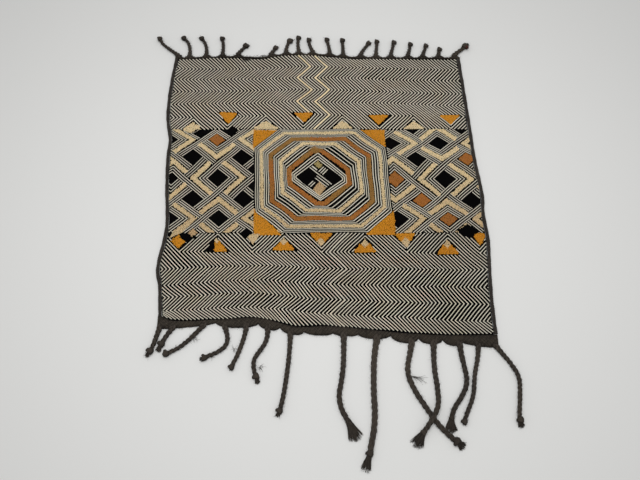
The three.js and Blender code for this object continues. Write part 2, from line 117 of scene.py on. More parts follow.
def report(pieces: Iterable[bpy.types.Object]) -> None:
    """Logs each piece's name and number of faces."""
    for piece in pieces:
        LOG.info("%s: %d faces", piece.name, len(piece.data.polygons))


class Curve:
    """Smooth curve through the rows of a two-column table."""

    def __init__(self, rows: Table) -> None:
        """Keeps the rows and works out the slope at each.

        Args:
            rows: pairs of a place along the curve, in rising order, and the value there.
        """
        table = np.array(rows, float)
        order = np.arange(len(table))
        before = np.maximum(order - 1, 0)
        after = np.minimum(order + 1, len(table) - 1)
        self.keys = table[:, 0]
        self.values = table[:, 1]
        self.slopes = (self.values[after] - self.values[before]) / (self.keys[after] - self.keys[before])

    def __call__(self, at: np.ndarray) -> np.ndarray:
        """Values of the curve.

        Args:
            at: places along the curve.

        Returns:
            The value at each place.
        """
        at = np.asarray(at, float)
        k = np.clip(np.searchsorted(self.keys, at) - 1, 0, len(self.keys) - 2)
        span = self.keys[k + 1] - self.keys[k]
        t = np.clip((at - self.keys[k]) / span, 0, 1)
        rise = t * t * (3 - 2 * t)
        start = self.slopes[k] * t * (1 - t) ** 2 * span
        end = self.slopes[k + 1] * t * t * (t - 1) * span
        return self.values[k] + (self.values[k + 1] - self.values[k]) * rise + start + end


@dataclass
class ClothShape:
    """Outline and uneven upper face that every piece of the cloth follows."""

    left_edge: Table = (
        (-330, -288), (-292, -288), (-225, -294), (-190, -301), (-105, -292), (-20, -299),
        (50, -303), (90, -302), (142, -311), (205, -312), (258, -309), (320, -303),
    )
    right_edge: Table = (
        (-345, 309), (-256, 307), (-190, 309), (-130, 312), (-75, 308), (-37, 310),
        (50, 302), (120, 299), (200, 295), (320, 289),
    )
    far_line: Table = (
        (-320, 292), (-245, 296), (-185, 298), (-125, 296), (-75, 304), (-10, 304),
        (30, 300), (75, 296), (320, 294),
    )
    near_line: Table = (
        (-310, -272), (-288, -279), (-262, -290), (-185, -288), (-110, -285), (-46, -301),
        (14, -300), (87, -307), (144, -313), (222, -317), (320, -316),
    )
    near_scallops: Table = (
        (-291, -304, 4), (-186, -294, 9), (-111, -295, 9), (-73, -302, 10), (-31, -310, 6),
        (20, -313, 5), (64, -315, 8), (121, -317, 12), (169, -322, 10), (211, -325, 9),
        (246, -330, 4), (306, -338, 0),
    )
    thickness: float = 2.2
    binding_width: float = 6.4
    # the frame's own panel: its bindings' width and its grid, which place the medallion
    solid_binding_width: float = 8.0
    solid_columns: int = 32
    solid_rows: int = 34
    seam_gap: float = 0.6
    far_band: float = 4.2
    far_peak: float = 11.5
    far_peak_spread: float = 14.0
    drift: float = 0.7
    # rounds in which a place on the panel settles between its curved edges
    rounds: int = 5

    def __post_init__(self) -> None:
        """Makes the edge curves and finds where the medallion stands in the frame."""
        self.left = Curve(self.left_edge)
        self.right = Curve(self.right_edge)
        self.far = Curve(self.far_line)
        self.near = Curve(self.near_line)
        s, t = np.meshgrid(
            np.linspace(0, 1, self.solid_columns + 1), np.linspace(0, 1, self.solid_rows + 1)
        )
        x, y = self.panel_point(s, t, self.solid_binding_width)
        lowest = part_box("panel")[0]
        self.shift = np.array([lowest.x / MM - x.min(), lowest.y / MM - y.min(), 0.0])

    def panel_point(
        self, s: np.ndarray, t: np.ndarray, binding_width: float | None = None
    ) -> tuple[np.ndarray, np.ndarray]:
        """Places on the embroidered panel.

        Args:
            s: shares of the width, from the left.
            t: shares of the length, from the near end.
            binding_width: width of the side bindings, or None for that of this script.

        Returns:
            The places' x and y.
        """
        x = lerp(self.left(0), self.right(0), s)
        y = np.zeros_like(x)
        inner = (binding_width or self.binding_width) + self.seam_gap
        for _ in range(self.rounds):
            y = lerp(self.near(x), self.far(x), t)
            x = lerp(self.left(y) + inner, self.right(y) - inner, s)
        return x, y

    def top(self, x: np.ndarray, y: np.ndarray) -> np.ndarray:
        """Height of the ground's slightly swelling upper face."""
        swell = 0.3 * np.sin(x / 88 + 0.8) * np.cos(y / 105) + 0.2 * np.sin((x + 1.4 * y) / 47)
        return self.thickness + swell

    def wander(self, x: np.ndarray, y: np.ndarray) -> tuple[np.ndarray, np.ndarray]:
        """Small slow drift of all handwork off its true lines.

        Args:
            x: places across.
            y: places along.

        Returns:
            The drifted x and y.
        """
        right = np.sin(x / 21 + 1.7 * np.sin(y / 27)) + 0.6 * np.sin(y / 9.5 + x / 33)
        ahead = np.sin(y / 19 + 1.4 * np.sin(x / 31)) + 0.6 * np.sin(x / 10.5 - y / 37)
        return x + self.drift * right, y + self.drift * ahead

    def inside(self, x: np.ndarray, y: np.ndarray, margin: float) -> np.ndarray:
        """True where a place is on the panel, a margin inside its edges."""
        inner = self.binding_width + margin
        between = (x > self.left(y) + inner) & (x < self.right(y) - inner)
        return between & (y > self.near(x) + margin) & (y < self.far(x) - margin)

    def far_scallop(self, x: np.ndarray, roots: np.ndarray) -> np.ndarray:
        """Outer line of the far heading, with a peak at each plait's root."""
        away = np.abs(np.asarray(x, float)[..., None] - roots)
        peak = (0.5 + 0.5 * np.cos(np.pi * np.minimum(away / self.far_peak_spread, 1))).max(-1)
        return self.far(x) + self.far_band + (self.far_peak - self.far_band) * peak

    def near_scallop(self, x: np.ndarray) -> np.ndarray:
        """Outer line of the near heading, a bulging lobe between each two notches."""
        table = np.array(self.near_scallops, float)
        k = np.clip(np.searchsorted(table[:, 0], x) - 1, 0, len(table) - 2)
        t = np.clip((x - table[k, 0]) / (table[k + 1, 0] - table[k, 0]), 0, 1)
        bow = np.sqrt(np.maximum(0, 1 - (2 * t - 1) ** 2))
        return lerp(table[k, 1], table[k + 1, 1], t) - table[k, 2] * bow

    def to_frame(self, points: np.ndarray) -> np.ndarray:
        """Points in the frame, in metres, from millimetres off the medallion's middle."""
        return (points + self.shift) * MM


class Sheaf:
    """Gathers many small shapes and makes one joined mesh of them."""

    def __init__(self) -> None:
        """Starts empty."""
        self.points: list[np.ndarray] = []
        self.faces: list[list[int]] = []
        self.runs: list[np.ndarray] = []
        self.shades: list[np.ndarray] = []
        self.count = 0

    def add(
        self, points: np.ndarray, faces: Sequence[np.ndarray], run: np.ndarray, shade: float | np.ndarray,
    ) -> None:
        """Adds one shape.

        Args:
            points: its points, in millimetres.
            faces: arrays of its faces' corners, one array for each number of corners.
            run: for each point its way along and round the shape, in millimetres.
            shade: from 0, deep, to 1, light, for the whole shape or for each point; on the tufts, plaits,
                knots and headings it holds painted shade.
        """
        for block in faces:
            self.faces.extend((block + self.count).tolist())
        self.points.append(points)
        self.runs.append(run)
        self.shades.append(np.full(len(points), shade))
        self.count += len(points)

    def build(self, name: str, shape: ClothShape) -> bpy.types.Object:
        """Makes the joined mesh.

        Args:
            name: the piece's name.
            shape: the cloth that the points are measured on.

        Returns:
            The new object, at the origin.
        """
        mesh = bpy.data.meshes.new(name)
        mesh.from_pydata(shape.to_frame(np.concatenate(self.points)).tolist(), [], self.faces)
        corners = np.empty(len(mesh.loops), np.int32)
        mesh.loops.foreach_get("vertex_index", corners)
        layer = mesh.uv_layers.new(name="run")
        layer.data.foreach_set("uv", (np.concatenate(self.runs)[corners] * MM).ravel())
        shade = mesh.attributes.new("shade", "FLOAT", "POINT")
        shade.data.foreach_set("value", np.concatenate(self.shades))
        mesh.polygons.foreach_set("use_smooth", np.ones(len(mesh.polygons), bool))
        mesh.update()
        piece = bpy.data.objects.new(name, mesh)
        bpy.context.scene.collection.objects.link(piece)
        return piece


def grid_faces(rows: int, columns: int, closed: bool = False) -> np.ndarray:
    """Quads of a grid of points, the columns counted to the right and the rows ahead.

    Args:
        rows: number of rows of points.
        columns: number of points in a row.
        closed: whether the last column joins the first.

    Returns:
        The quads' corners.
    """
    across = np.arange(columns if closed else columns - 1)
    row, column = np.meshgrid(np.arange(rows - 1), across, indexing="ij")
    first = (row * columns + column).ravel()
    second = (row * columns + (column + 1) % columns).ravel()
    return np.stack([first, second, second + columns, first + columns], 1)


def densify(path: np.ndarray, step: float) -> np.ndarray:
    """Path with every stretch cut into pieces no longer than step, its corners kept."""
    parts = [path[:1]]
    for start, end in zip(path[:-1], path[1:]):
        count = max(math.ceil(np.linalg.norm(end - start) / step), 1)
        parts.append(start + (end - start) * (np.arange(1, count + 1) / count)[:, None])
    return np.concatenate(parts)


def corners_only(path: np.ndarray) -> np.ndarray:
    """Path without the points that lie on a straight stretch."""
    ways = unit(np.diff(path, axis=0))
    turns = (ways[:-1] * ways[1:]).sum(1) < STRAIGHT
    return path[np.concatenate([[True], turns, [True]])]


def clipped(path: np.ndarray, keep: Mask, fine: float = 0.9, shortest: float = 2.5) -> list[np.ndarray]:
    """Stretches of a path that lie in a region.

    Args:
        path: rows of x and y.
        keep: tells which places are in the region.
        fine: the step at which the path is tried.
        shortest: stretches below this length are dropped.

    Returns:
        The stretches, each with its corners.
    """
    tried = densify(path, fine)
    inside = keep(tried[:, 0], tried[:, 1])
    edges = np.flatnonzero(np.diff(np.concatenate([[False], inside, [False]]).astype(int)))
    found = []
    for start, end in zip(edges[::2], edges[1::2]):
        if end - start >= FEWEST and (end - start) * fine >= shortest:
            found.append(corners_only(tried[start:end]))
    return found


def within(points: np.ndarray, x: np.ndarray, y: np.ndarray) -> np.ndarray:
    """True where a place lies in the outline that the points make."""
    inside = np.zeros(np.shape(x), bool)
    for (ax, ay), (bx, by) in zip(points, np.roll(points, -1, axis=0)):
        if ay == by:
            continue
        crosses = (ay > y) != (by > y)
        inside ^= crosses & (x < ax + (y - ay) * (bx - ax) / (by - ay))
    return inside


def tube(
    path: np.ndarray, wide: np.ndarray, tall: np.ndarray, sides: int
) -> tuple[np.ndarray, list[np.ndarray], np.ndarray]:
    """Closed round strand along a path in space.

    Args:
        path: rows of x, y and z for the strand's middle.
        wide: its half width at each row.
        tall: its half height at each row.
        sides: number of sides.

    Returns:
        The points, the faces, and the way along and round the strand for each point.
    """
    ways = unit(np.gradient(path, axis=0))
    right = unit(np.stack([ways[:, 1], -ways[:, 0], np.zeros(len(path))], 1), TOUCHING)
    up = np.cross(right, ways)
    turn = np.arange(sides) * math.tau / sides
    cos, sin = np.cos(turn)[None, :, None], np.sin(turn)[None, :, None]
    rings = path[:, None] + cos * (right * wide[:, None])[:, None] + sin * (up * tall[:, None])[:, None]
    faces = grid_faces(len(path), sides, closed=True)
    last = (len(path) - 1) * sides
    caps = np.array([np.arange(sides), last + np.arange(sides)[::-1]])
    steps = np.linalg.norm(np.diff(path, axis=0), axis=1)
    along = np.concatenate([[0], np.cumsum(steps)])
    run = np.stack(np.broadcast_arrays(along[:, None], (turn * wide.mean())[None]), -1)
    return rings.reshape(-1, 3), [faces, caps], run.reshape(-1, 2)


class NodeKit:
    """Makes and wires the nodes of one tree."""

    def __init__(self, tree: bpy.types.NodeTree) -> None:
        """Keeps the tree."""
        self.tree = tree

    def add(
        self, kind: str, inputs: dict[str | int, object] | None = None, **settings: object
    ) -> bpy.types.Node:
        """Adds a node.

        Args:
            kind: the node's type name.
            inputs: values or output sockets for its inputs.
            settings: the node's own properties.

        Returns:
            The node.
        """
        node = self.tree.nodes.new(kind)
        for name, value in settings.items():
            setattr(node, name, value)
        for name, value in (inputs or {}).items():
            if isinstance(value, bpy.types.NodeSocket):
                self.tree.links.new(value, node.inputs[name])
            else:
                node.inputs[name].default_value = value
        return node

    def math(self, operation: str, first: object, second: object = 0.0) -> bpy.types.NodeSocket:
        """Output of a Math node on two values or sockets."""
        return self.add("ShaderNodeMath", {0: first, 1: second}, operation=operation).outputs[0]

    def blend(self, share: object, first: object, second: object, way: str = "MIX") -> bpy.types.NodeSocket:
        """Colour output of a Mix node."""
        node = self.add("ShaderNodeMix", {0: share, 6: first, 7: second}, data_type="RGBA", blend_type=way)
        return node.outputs[2]

    def ramp(self, value: object, low: float, high: float) -> bpy.types.NodeSocket:
        """Value brought to 0 at low and 1 at high, and held there."""
        node = self.add("ShaderNodeMapRange", {"Value": value, "From Min": low, "From Max": high})
        return node.outputs["Result"]


def linear(red: int, green: int, blue: int) -> tuple[float, float, float, float]:
    """Scene colour of a colour given from 0 to 255 as it looks on a screen."""
    parts = [c / 255 for c in (red, green, blue)]
    return (*[p / 12.92 if p <= 0.04045 else ((p + 0.055) / 1.055) ** 2.4 for p in parts], 1.0)


def new_group(name: str, takes: Sequence[tuple[str, str]], gives: Sequence[tuple[str, str]]) -> NodeKit:
    """Starts a shader node group.

    Args:
        name: the group's name.
        takes: names and socket types of its inputs.
        gives: names and socket types of its outputs.
    """
    tree = bpy.data.node_groups.new(name, "ShaderNodeTree")
    for label, kind in takes:
        tree.interface.new_socket(name=label, in_out="INPUT", socket_type=kind)
    for label, kind in gives:
        tree.interface.new_socket(name=label, in_out="OUTPUT", socket_type=kind)
    return NodeKit(tree)


@dataclass
class Effects:
    """Shader node groups that several finishes share."""

    patch_scale: float = 23.0
    wash_scale: float = 6.0
    fine_share: float = 0.4
    shade_share: float = 0.6
    fine_detail: float = 3.0
    fine_roughness: float = 0.6
    # levels of each noise between which its effect grows from none to full
    speckles: tuple[float, float] = (0.3, 0.7)
    fading: tuple[float, float] = (0.48, 0.7)
    wearing: tuple[float, float] = (0.45, 0.75)
    most_faded: float = 0.5
    most_worn: float = 0.35
    stitch_roundness: float = 3.0
    gap_from: float = 0.36

    def __post_init__(self) -> None:
        """Builds each group once."""
        self.grain = self._grain()
        self.stitches = self._stitches()
        self.weave = self._weave()

    def _grain(self) -> bpy.types.NodeTree:
        """Uneven dye, split fibres, and the painted shade that the shade attribute carries.

        Returns:
            The group: two colours and a scale in, the mixed colour and a height out.
        """
        number, colour = "NodeSocketFloat", "NodeSocketColor"
        kit = new_group(
            "raffia_grain",
            [("Light", colour), ("Deep", colour), ("Fade", colour), ("Scale", number)],
            [("Color", colour), ("Height", number)],
        )
        given = kit.add("NodeGroupInput").outputs
        place = kit.add("ShaderNodeTexCoord").outputs["Object"]
        shade = kit.add("ShaderNodeAttribute", attribute_name="shade").outputs["Fac"]
        fine = kit.add("ShaderNodeTexNoise", {
            "Vector": place, "Scale": given["Scale"],
            "Detail": self.fine_detail, "Roughness": self.fine_roughness,
        }).outputs["Fac"]
        patch, wash = (
            kit.add("ShaderNodeTexNoise", {"Vector": place, "Scale": scale, "Detail": detail}).outputs["Fac"]
            for scale, detail in ((self.patch_scale, 3.0), (self.wash_scale, 2.0))
        )
        speckled = kit.math("MULTIPLY", kit.ramp(fine, *self.speckles), self.fine_share)
        # the shade attribute holds random tone, and painted shade on the tufts, plaits, knots and headings
        mask = kit.math("ADD", speckled, kit.math("MULTIPLY", shade, self.shade_share))
        dyed = kit.blend(mask, given["Deep"], given["Light"])
        fading = kit.math("MULTIPLY", kit.ramp(patch, *self.fading), self.most_faded)
        faded = kit.blend(fading, dyed, given["Fade"])
        wear = kit.math("MULTIPLY", kit.ramp(wash, *self.wearing), self.most_worn)
        worn = kit.blend(wear, faded, given["Deep"])
        kit.add("NodeGroupOutput", {"Color": worn, "Height": fine})
        return kit.tree

    def _stitches(self) -> bpy.types.NodeTree:
        """Slanting stitches along a row of embroidery.

        Returns:
            The group: a stitch length and a slant in, a height and a mask of the gaps out.
        """
        number = "NodeSocketFloat"
        kit = new_group(
            "slanting_stitches",
            [("Length", number), ("Slant", number)],
            [("Height", number), ("Gap", number)],
        )
        given = kit.add("NodeGroupInput").outputs
        run = kit.add("ShaderNodeUVMap", uv_map="run").outputs["UV"]
        parts = kit.add("ShaderNodeSeparateXYZ", {0: run}).outputs
        slanted = kit.math("ADD", parts[0], kit.math("MULTIPLY", parts[1], given["Slant"]))
        turned = kit.math("FRACT", kit.math("DIVIDE", slanted, given["Length"]))
        away = kit.math("ABSOLUTE", kit.math("SUBTRACT", turned, 0.5))
        sunk = kit.math("POWER", kit.math("MULTIPLY", away, 2.0), self.stitch_roundness)
        round_top = kit.math("SUBTRACT", 1.0, sunk)
        # painted shade goes in the gaps between stitches, where the height is lowest
        gap = kit.ramp(away, self.gap_from, 0.5)
        kit.add("NodeGroupOutput", {"Height": round_top, "Gap": gap})
        return kit.tree

    def _weave(self) -> bpy.types.NodeTree:
        """Plain weave of raffia strips.

        Returns:
            The group: a pitch in, a height out.
        """
        number = "NodeSocketFloat"
        kit = new_group("plain_weave", [("Threads", number)], [("Height", number)])
        given = kit.add("NodeGroupInput").outputs
        place = kit.add("ShaderNodeTexCoord").outputs["Object"]
        parts = kit.add("ShaderNodeSeparateXYZ", {0: place}).outputs
        waves = [kit.math("SINE", kit.math("MULTIPLY", parts[k], given["Threads"])) for k in (0, 1)]
        product = kit.math("MULTIPLY", *waves)
        kit.add("NodeGroupOutput", {"Height": kit.math("ADD", kit.math("MULTIPLY", product, 0.5), 0.5)})
        return kit.tree


@dataclass(frozen=True)
class RaffiaFinish:
    """Dyed raffia as it looks in one kind of work."""

    name: str
    light: tuple[int, int, int]
    deep: tuple[int, int, int]
    fade: tuple[int, int, int]
    roughness: float = 0.8
    grain: float = 420.0
    sheen: float = 0.15
    gloss: float = 0.2
    stitch: float = 0.0
    slant: float = 0.9
    # how strongly painted shade darkens the gaps between stitches
    gap_painted_shade: float = 0.35
    weave: float = 0.0
    relief: float = 0.35
    relief_depth: float = 0.0006
    grain_relief: float = 0.4
    sheen_roughness: float = 0.5

    def material(self, effects: Effects) -> bpy.types.Material:
        """Makes the finish, or finds it if it is made already.

        Args:
            effects: the shared node groups.

        Returns:
            The material.
        """
        known = bpy.data.materials.get(self.name)
        if known:
            return known
        made = bpy.data.materials.new(self.name)
        made.use_nodes = True
        made.node_tree.nodes.clear()
        kit = NodeKit(made.node_tree)
        light, deep, fade = (linear(*dye) for dye in (self.light, self.deep, self.fade))
        grain = kit.add(
            "ShaderNodeGroup", {"Light": light, "Deep": deep, "Fade": fade, "Scale": self.grain},
            node_tree=effects.grain,
        )
        colour, height = grain.outputs["Color"], grain.outputs["Height"]
        if self.stitch:
            rows = kit.add(
                "ShaderNodeGroup", {"Length": self.stitch * MM, "Slant": self.slant},
                node_tree=effects.stitches,
            )
            # painted shade in the sunk gaps between stitches
            darker = kit.math("MULTIPLY", rows.outputs["Gap"], self.gap_painted_shade)
            colour = kit.blend(darker, colour, deep, "MULTIPLY")
            height = self._over_grain(kit, height, rows)
        if self.weave:
            cloth = kit.add(
                "ShaderNodeGroup", {"Threads": math.tau / (self.weave * MM)}, node_tree=effects.weave
            )
            height = self._over_grain(kit, height, cloth)
        bump = kit.add(
            "ShaderNodeBump", {"Strength": self.relief, "Distance": self.relief_depth, "Height": height}
        )
        shader = kit.add("ShaderNodeBsdfPrincipled", {
            "Base Color": colour, "Normal": bump.outputs["Normal"], "Roughness": self.roughness,
            "Sheen Weight": self.sheen, "Sheen Roughness": self.sheen_roughness,
            "Specular IOR Level": self.gloss,
        })
        kit.add("ShaderNodeOutputMaterial", {"Surface": shader.outputs["BSDF"]})
        return made

    def _over_grain(
        self, kit: NodeKit, grain: bpy.types.NodeSocket, pattern: bpy.types.Node
    ) -> bpy.types.NodeSocket:
        """Height of a pattern with the weakened grain added."""
        return kit.math("ADD", kit.math("MULTIPLY", grain, self.grain_relief), pattern.outputs["Height"])


@dataclass(frozen=True)
class FloorFinish:
    """Plain pale floor."""

    name: str = "pale_floor"
    colour: tuple[int, int, int] = (232, 232, 230)
    roughness: float = 0.9
    gloss: float = 0.1

    def material(self) -> bpy.types.Material:
        """Makes the floor's finish."""
        made = bpy.data.materials.new(self.name)
        made.use_nodes = True
        shader = made.node_tree.nodes["Principled BSDF"]
        shader.inputs["Base Color"].default_value = linear(*self.colour)
        shader.inputs["Roughness"].default_value = self.roughness
        shader.inputs["Specular IOR Level"].default_value = self.gloss
        return made


EMBROIDERY = {
    Tone.PALE: RaffiaFinish("pale_rows", (234, 229, 211), (182, 176, 160), (210, 200, 172), stitch=3.4),
    Tone.CREAM: RaffiaFinish("cream_rows", (240, 228, 192), (204, 188, 150), (226, 208, 164), stitch=3.8),
    Tone.DARK: RaffiaFinish(
        "dark_rows", (14, 13, 12), (3, 3, 3), (22, 19, 17), stitch=3.4, sheen=0.0, gloss=0.04
    ),
}
PILE = {
    Tone.CREAM: RaffiaFinish("cream_pile", (246, 228, 182), (200, 169, 124), (232, 207, 156), sheen=0.3),
    Tone.GOLD: RaffiaFinish("gold_pile", (232, 160, 22), (182, 110, 8), (216, 148, 36), sheen=0.2),
    Tone.BROWN: RaffiaFinish("brown_pile", (190, 120, 46), (136, 80, 28), (168, 122, 54), sheen=0.2),
    Tone.BLACK: RaffiaFinish("black_pile", (11, 10, 11), (3, 3, 4), (15, 13, 12), sheen=0.0, gloss=0.03),
    Tone.OLIVE: RaffiaFinish("olive_pile", (190, 172, 112), (140, 122, 72), (176, 154, 98), sheen=0.2),
    Tone.OCHRE: RaffiaFinish("ochre_pile", (172, 126, 58), (124, 86, 34), (156, 118, 60), sheen=0.2),
    Tone.BEIGE: RaffiaFinish("beige_pile", (214, 182, 136), (168, 136, 94), (196, 164, 114), sheen=0.2),
}
FELT = RaffiaFinish(
    "dark_felted_raffia", (78, 71, 64), (8, 7, 7), (76, 68, 59), grain=700.0, relief=0.8, sheen=0.04,
    gloss=0.08,
)
HEADING = RaffiaFinish(
    "dark_felted_heading", (80, 73, 65), (4, 4, 4), (76, 68, 58), grain=300.0, relief=0.9, stitch=4.1,
    gap_painted_shade=0.6, sheen=0.03, gloss=0.06,
)
BINDING = RaffiaFinish(
    "dark_whipped_edge", (66, 61, 56), (20, 18, 17), (74, 68, 61), stitch=3.2, slant=1.4, sheen=0.06,
    gloss=0.1,
)
THREAD = RaffiaFinish("dark_red_thread", (122, 34, 34), (70, 18, 20), (110, 40, 36), sheen=0.05, gloss=0.08)
GROUND = RaffiaFinish(
    "dark_ground_weave", (12, 11, 10), (3, 3, 3), (18, 16, 14), weave=1.6, sheen=0.0, gloss=0.03
)


@dataclass
class Row:
    """One run of embroidery: its path, its width and its tone."""

    path: np.ndarray
    width: float
    tone: Tone


@dataclass
class Pad:
    """One plush pad: where it lies, and its tone or None where it clears what lies under it."""

    inside: Mask
    tone: Tone | None


@dataclass
class Interlace:
    """Bands of three rows that pass over and under each other round plush diamonds."""

    name: str
    # 1 for the block to the right of the medallion, or -1
    side: int
    # first and last diamonds in half steps across, and how far the lattice is set over
    first: int
    last: int
    phase: int
    # half steps ahead, place along, shift across
    levels: Table
    # diamonds that are brown, that have no bar ahead, and that have no bars
    brown: tuple[tuple[int, int], ...] = ()
    bare_ahead: tuple[tuple[int, int], ...] = ()
    bare: tuple[tuple[int, int], ...] = ()
    # crossings where the band along v passes over although the rule says u
    v_over: tuple[tuple[int, int, int, int], ...] = ()
    # place across, middle along and reach along of a fold that mirrors the pattern
    fold: tuple[float, float, float] | None = None
    fold_width: float = 16.0
    half_step_x: float = 48.3
    block_shift: float = -4.0
    half_height: float = 115.5
    diamond_reach: tuple[float, float] = (0.335, 0.375)
    bar_width: float = 8.8
    bar_reach: float = 0.74
    band: float = 0.304
    row_spacing: float = 0.069
    half_band: float = 0.098
    field_rows: float = 3.4
    pale_width: float = 1.7
    dark_width: float = 2.3
    cells: int = 8
    half_rows: int = 3
    turn_overlap: float = 0.016
    shortest: float = 0.03
    row_step: float = 0.12
    fold_fine: float = 0.3

    def __post_init__(self) -> None:
        """Makes the curves of the lattice's levels."""
        self.along = Curve(tuple((level, along) for level, along, _ in self.levels))
        self.across = Curve(tuple((level, across) for level, _, across in self.levels))

    def place(self, u: np.ndarray, v: np.ndarray) -> np.ndarray:
        """Places of lattice points, u counted up to the right and v up to the left."""
        i, j = u - v + self.phase, u + v
        return np.stack([self.half_step_x * i + self.block_shift + self.across(j), self.along(j)], -1)

    def at(self, i: float, j: float) -> np.ndarray:
        """Place at i half steps to the right and j half steps ahead."""
        return self.place((i - self.phase + j) / 2, (j - i + self.phase) / 2)

    def unfolded(self, x: np.ndarray, y: np.ndarray) -> np.ndarray:
        """Places across with those beyond the fold mirrored back."""
        if self.fold is None:
            return x
        at, middle, reach = self.fold
        return np.where(np.abs(y - middle) < reach, np.maximum(x, 2 * at - x), x)

    def _folded(self, rows: list[Row]) -> list[Row]:
        """Rows with what lies beyond the fold replaced by the mirror image of what lies before it.

        Args:
            rows: the rows of the lattice.

        Returns:
            The rows as they are worked.
        """
        if self.fold is None:
            return rows
        at, middle, reach = self.fold
        made = []
        for row in rows:
            if row.path[:, 0].min() > at + self.fold_width:
                made.append(row)
                continue
            shown = clipped(row.path, lambda x, y: (x >= at) | (np.abs(y - middle) >= reach), self.fold_fine)
            near = clipped(
                row.path,
                lambda x, y: (x >= at) & (x < at + self.fold_width) & (np.abs(y - middle) < reach),
                self.fold_fine,
            )
            for path in shown + [path * (-1, 1) + (2 * at, 0) for path in near]:
                made.append(Row(path, row.width, row.tone))
        return made

    def crossing(self, m: int, n: int, up_u: int, up_v: int) -> str:
        """What happens at one corner of a cell.

        Args:
            m: the cell's number along u.
            n: the cell's number along v.
            up_u: 1 for its corners further along u, or -1.
            up_v: 1 for its corners further along v, or -1.

        Returns:
            "turn" where the bands turn, or the band that passes over, "u" or "v".
        """
        if (m, n, up_u, up_v) in self.v_over:
            return "v"
        ahead = up_u * up_v > 0
        even_m, even_n = m % 2 == 0, n % 2 == 0
        if even_m and even_n:
            return "u" if ahead else "turn"
        if not even_m and not even_n:
            return "turn" if ahead else "u"
        if even_n:
            return "v" if ahead else "u"
        return "u" if ahead else "v"

    def _stretches(self, way: str, n: int, side: int, offset: float) -> list[tuple[float, float]]:
        """Where a row of one band shows.

        Args:
            way: "u" or "v", the direction of the band.
            n: the number of the cell line that the band borders.
            side: which side of the cell line it is on, -1 or 1.
            offset: the row's distance from the cells' middle line.

        Returns:
            Starts and ends of its stretches along the band's direction.
        """
        def meets(m: int, corner: int) -> str:
            """What happens at one end of the band along cell m."""
            return self.crossing(*((m, n, corner, side) if way == "u" else (n, m, side, corner)))

        found = []
        for m in range(-self.cells, self.cells + 1):
            ends = []
            for corner in (-1, 1):
                met = meets(m, corner)
                inset = {"turn": -offset - self.turn_overlap, way: -self.band}
                ends.append(m - corner * inset.get(met, self.half_band - self.band))
            found.append(tuple(ends))
            here, there = meets(m, 1), meets(m + 1, -1)
            if "turn" not in (here, there):
                start = m + self.band + (0 if here == way else self.half_band)
                found.append((start, m + 1 - self.band - (0 if there == way else self.half_band)))
        found.sort()
        joined = [found[0]]
        for start, end in found[1:]:
            if start <= joined[-1][1] + TOUCHING:
                joined[-1] = (joined[-1][0], end)
            else:
                joined.append((start, end))
        return joined

    def rows(self) -> list[Row]:
        """Every pale and dark row of the bands."""
        made = []
        kinds = [(k * self.row_spacing, self.pale_width, Tone.PALE) for k in (-1, 0, 1)]
        kinds += [(k * self.row_spacing, self.dark_width, Tone.DARK) for k in (-1.5, -0.5, 0.5, 1.5)]
        for n in range(-self.cells, self.cells + 1):
            for side in (-1, 1):
                for shift, width, tone in kinds:
                    offset = self.band + shift
                    level = n + side * offset
                    for way in ("u", "v"):
                        for start, end in self._stretches(way, n, side, offset):
                            start = max(start, -self.field_rows - level)
                            end = min(end, self.field_rows - level)
                            if end - start < self.shortest:
                                continue
                            steps = np.linspace(start, end, max(int((end - start) / self.row_step), 2))
                            still = np.full(len(steps), level)
                            points = self.place(steps, still) if way == "u" else self.place(still, steps)
                            made.append(Row(points, width, tone))
        return self._folded(made)

    def _diamond(self, i: int, j: int) -> np.ndarray:
        """Outline of the pad in the cell at half steps i and j."""
        across, along = self.diamond_reach
        corners = [(i + across, j), (i, j + along), (i - across, j), (i, j - along)]
        return np.array([self.at(*corner) for corner in corners])

    def _bar(self, i: int, j: int, side_x: int, side_y: int) -> np.ndarray:
        """Outline of the bent bar beyond one corner of a cell.

        Args:
            i: half steps to the right of the cell.
            j: half steps ahead.
            side_x: 1 or -1 for the bars to the right or left, or 0.
            side_y: 1 or -1 for the bars ahead or behind, or 0.

        Returns:
            The outline's points.
        """
        apex = self.at(i + side_x, j + side_y)
        near = [self.at(i, j + s) if side_x else self.at(i + s, j) for s in (-1, 1)]
        ends = [apex + (corner - apex) * self.bar_reach for corner in near]
        inward = self.at(i, j) - apex
        inward /= np.linalg.norm(inward)
        loops = []
        for sign in (-1, 1):
            shifted = []
            for k, point in enumerate((ends[0], apex, ends[1])):
                if k == 1:
                    shifted.append(point + inward * sign * self.bar_width * math.sqrt(0.5))
                    continue
                along = (apex - point) / np.linalg.norm(apex - point)
                across = np.array([-along[1], along[0]])
                across *= 1 if across @ inward > 0 else -1
                shifted.append(point + across * sign * self.bar_width / 2)
            loops.append(shifted)
        return np.array(loops[0] + loops[1][::-1])

    def outlines(self) -> list[tuple[np.ndarray, Tone]]:
        """Outlines and tones of the diamonds and bars."""
        made = []
        for i in range(self.first, self.last + 1):
            for j in range(-self.half_rows, self.half_rows + 1):
                if (i - self.phase + j) % 2:
                    continue
                u, v = (i - self.phase + j) // 2, (j - i + self.phase) // 2
                tone = Tone.BROWN if (i, j) in self.brown else Tone.BLACK
                made.append((self._diamond(i, j), tone))
                if (u + v) % 2 or (i, j) in self.bare:
                    continue
                sides = ((-1, 0), (1, 0)) if u % 2 == 0 else ((0, -1), (0, 1))
                for side in sides:
                    if (i, j) in self.bare_ahead and side == (0, 1):
                        continue
                    made.append((self._bar(i, j, *side), Tone.CREAM))
        return made

    def pads(self) -> list[Pad]:
        """The pads of the diamonds and bars, on the block's own side of the cloth."""
        return [
            Pad(
                lambda x, y, o=outline: within(o, self.unfolded(x, y), y)
                & (np.abs(y) < self.half_height) & ((x > 0) == (self.side > 0)),
                tone,
            )
            for outline, tone in self.outlines()
        ]


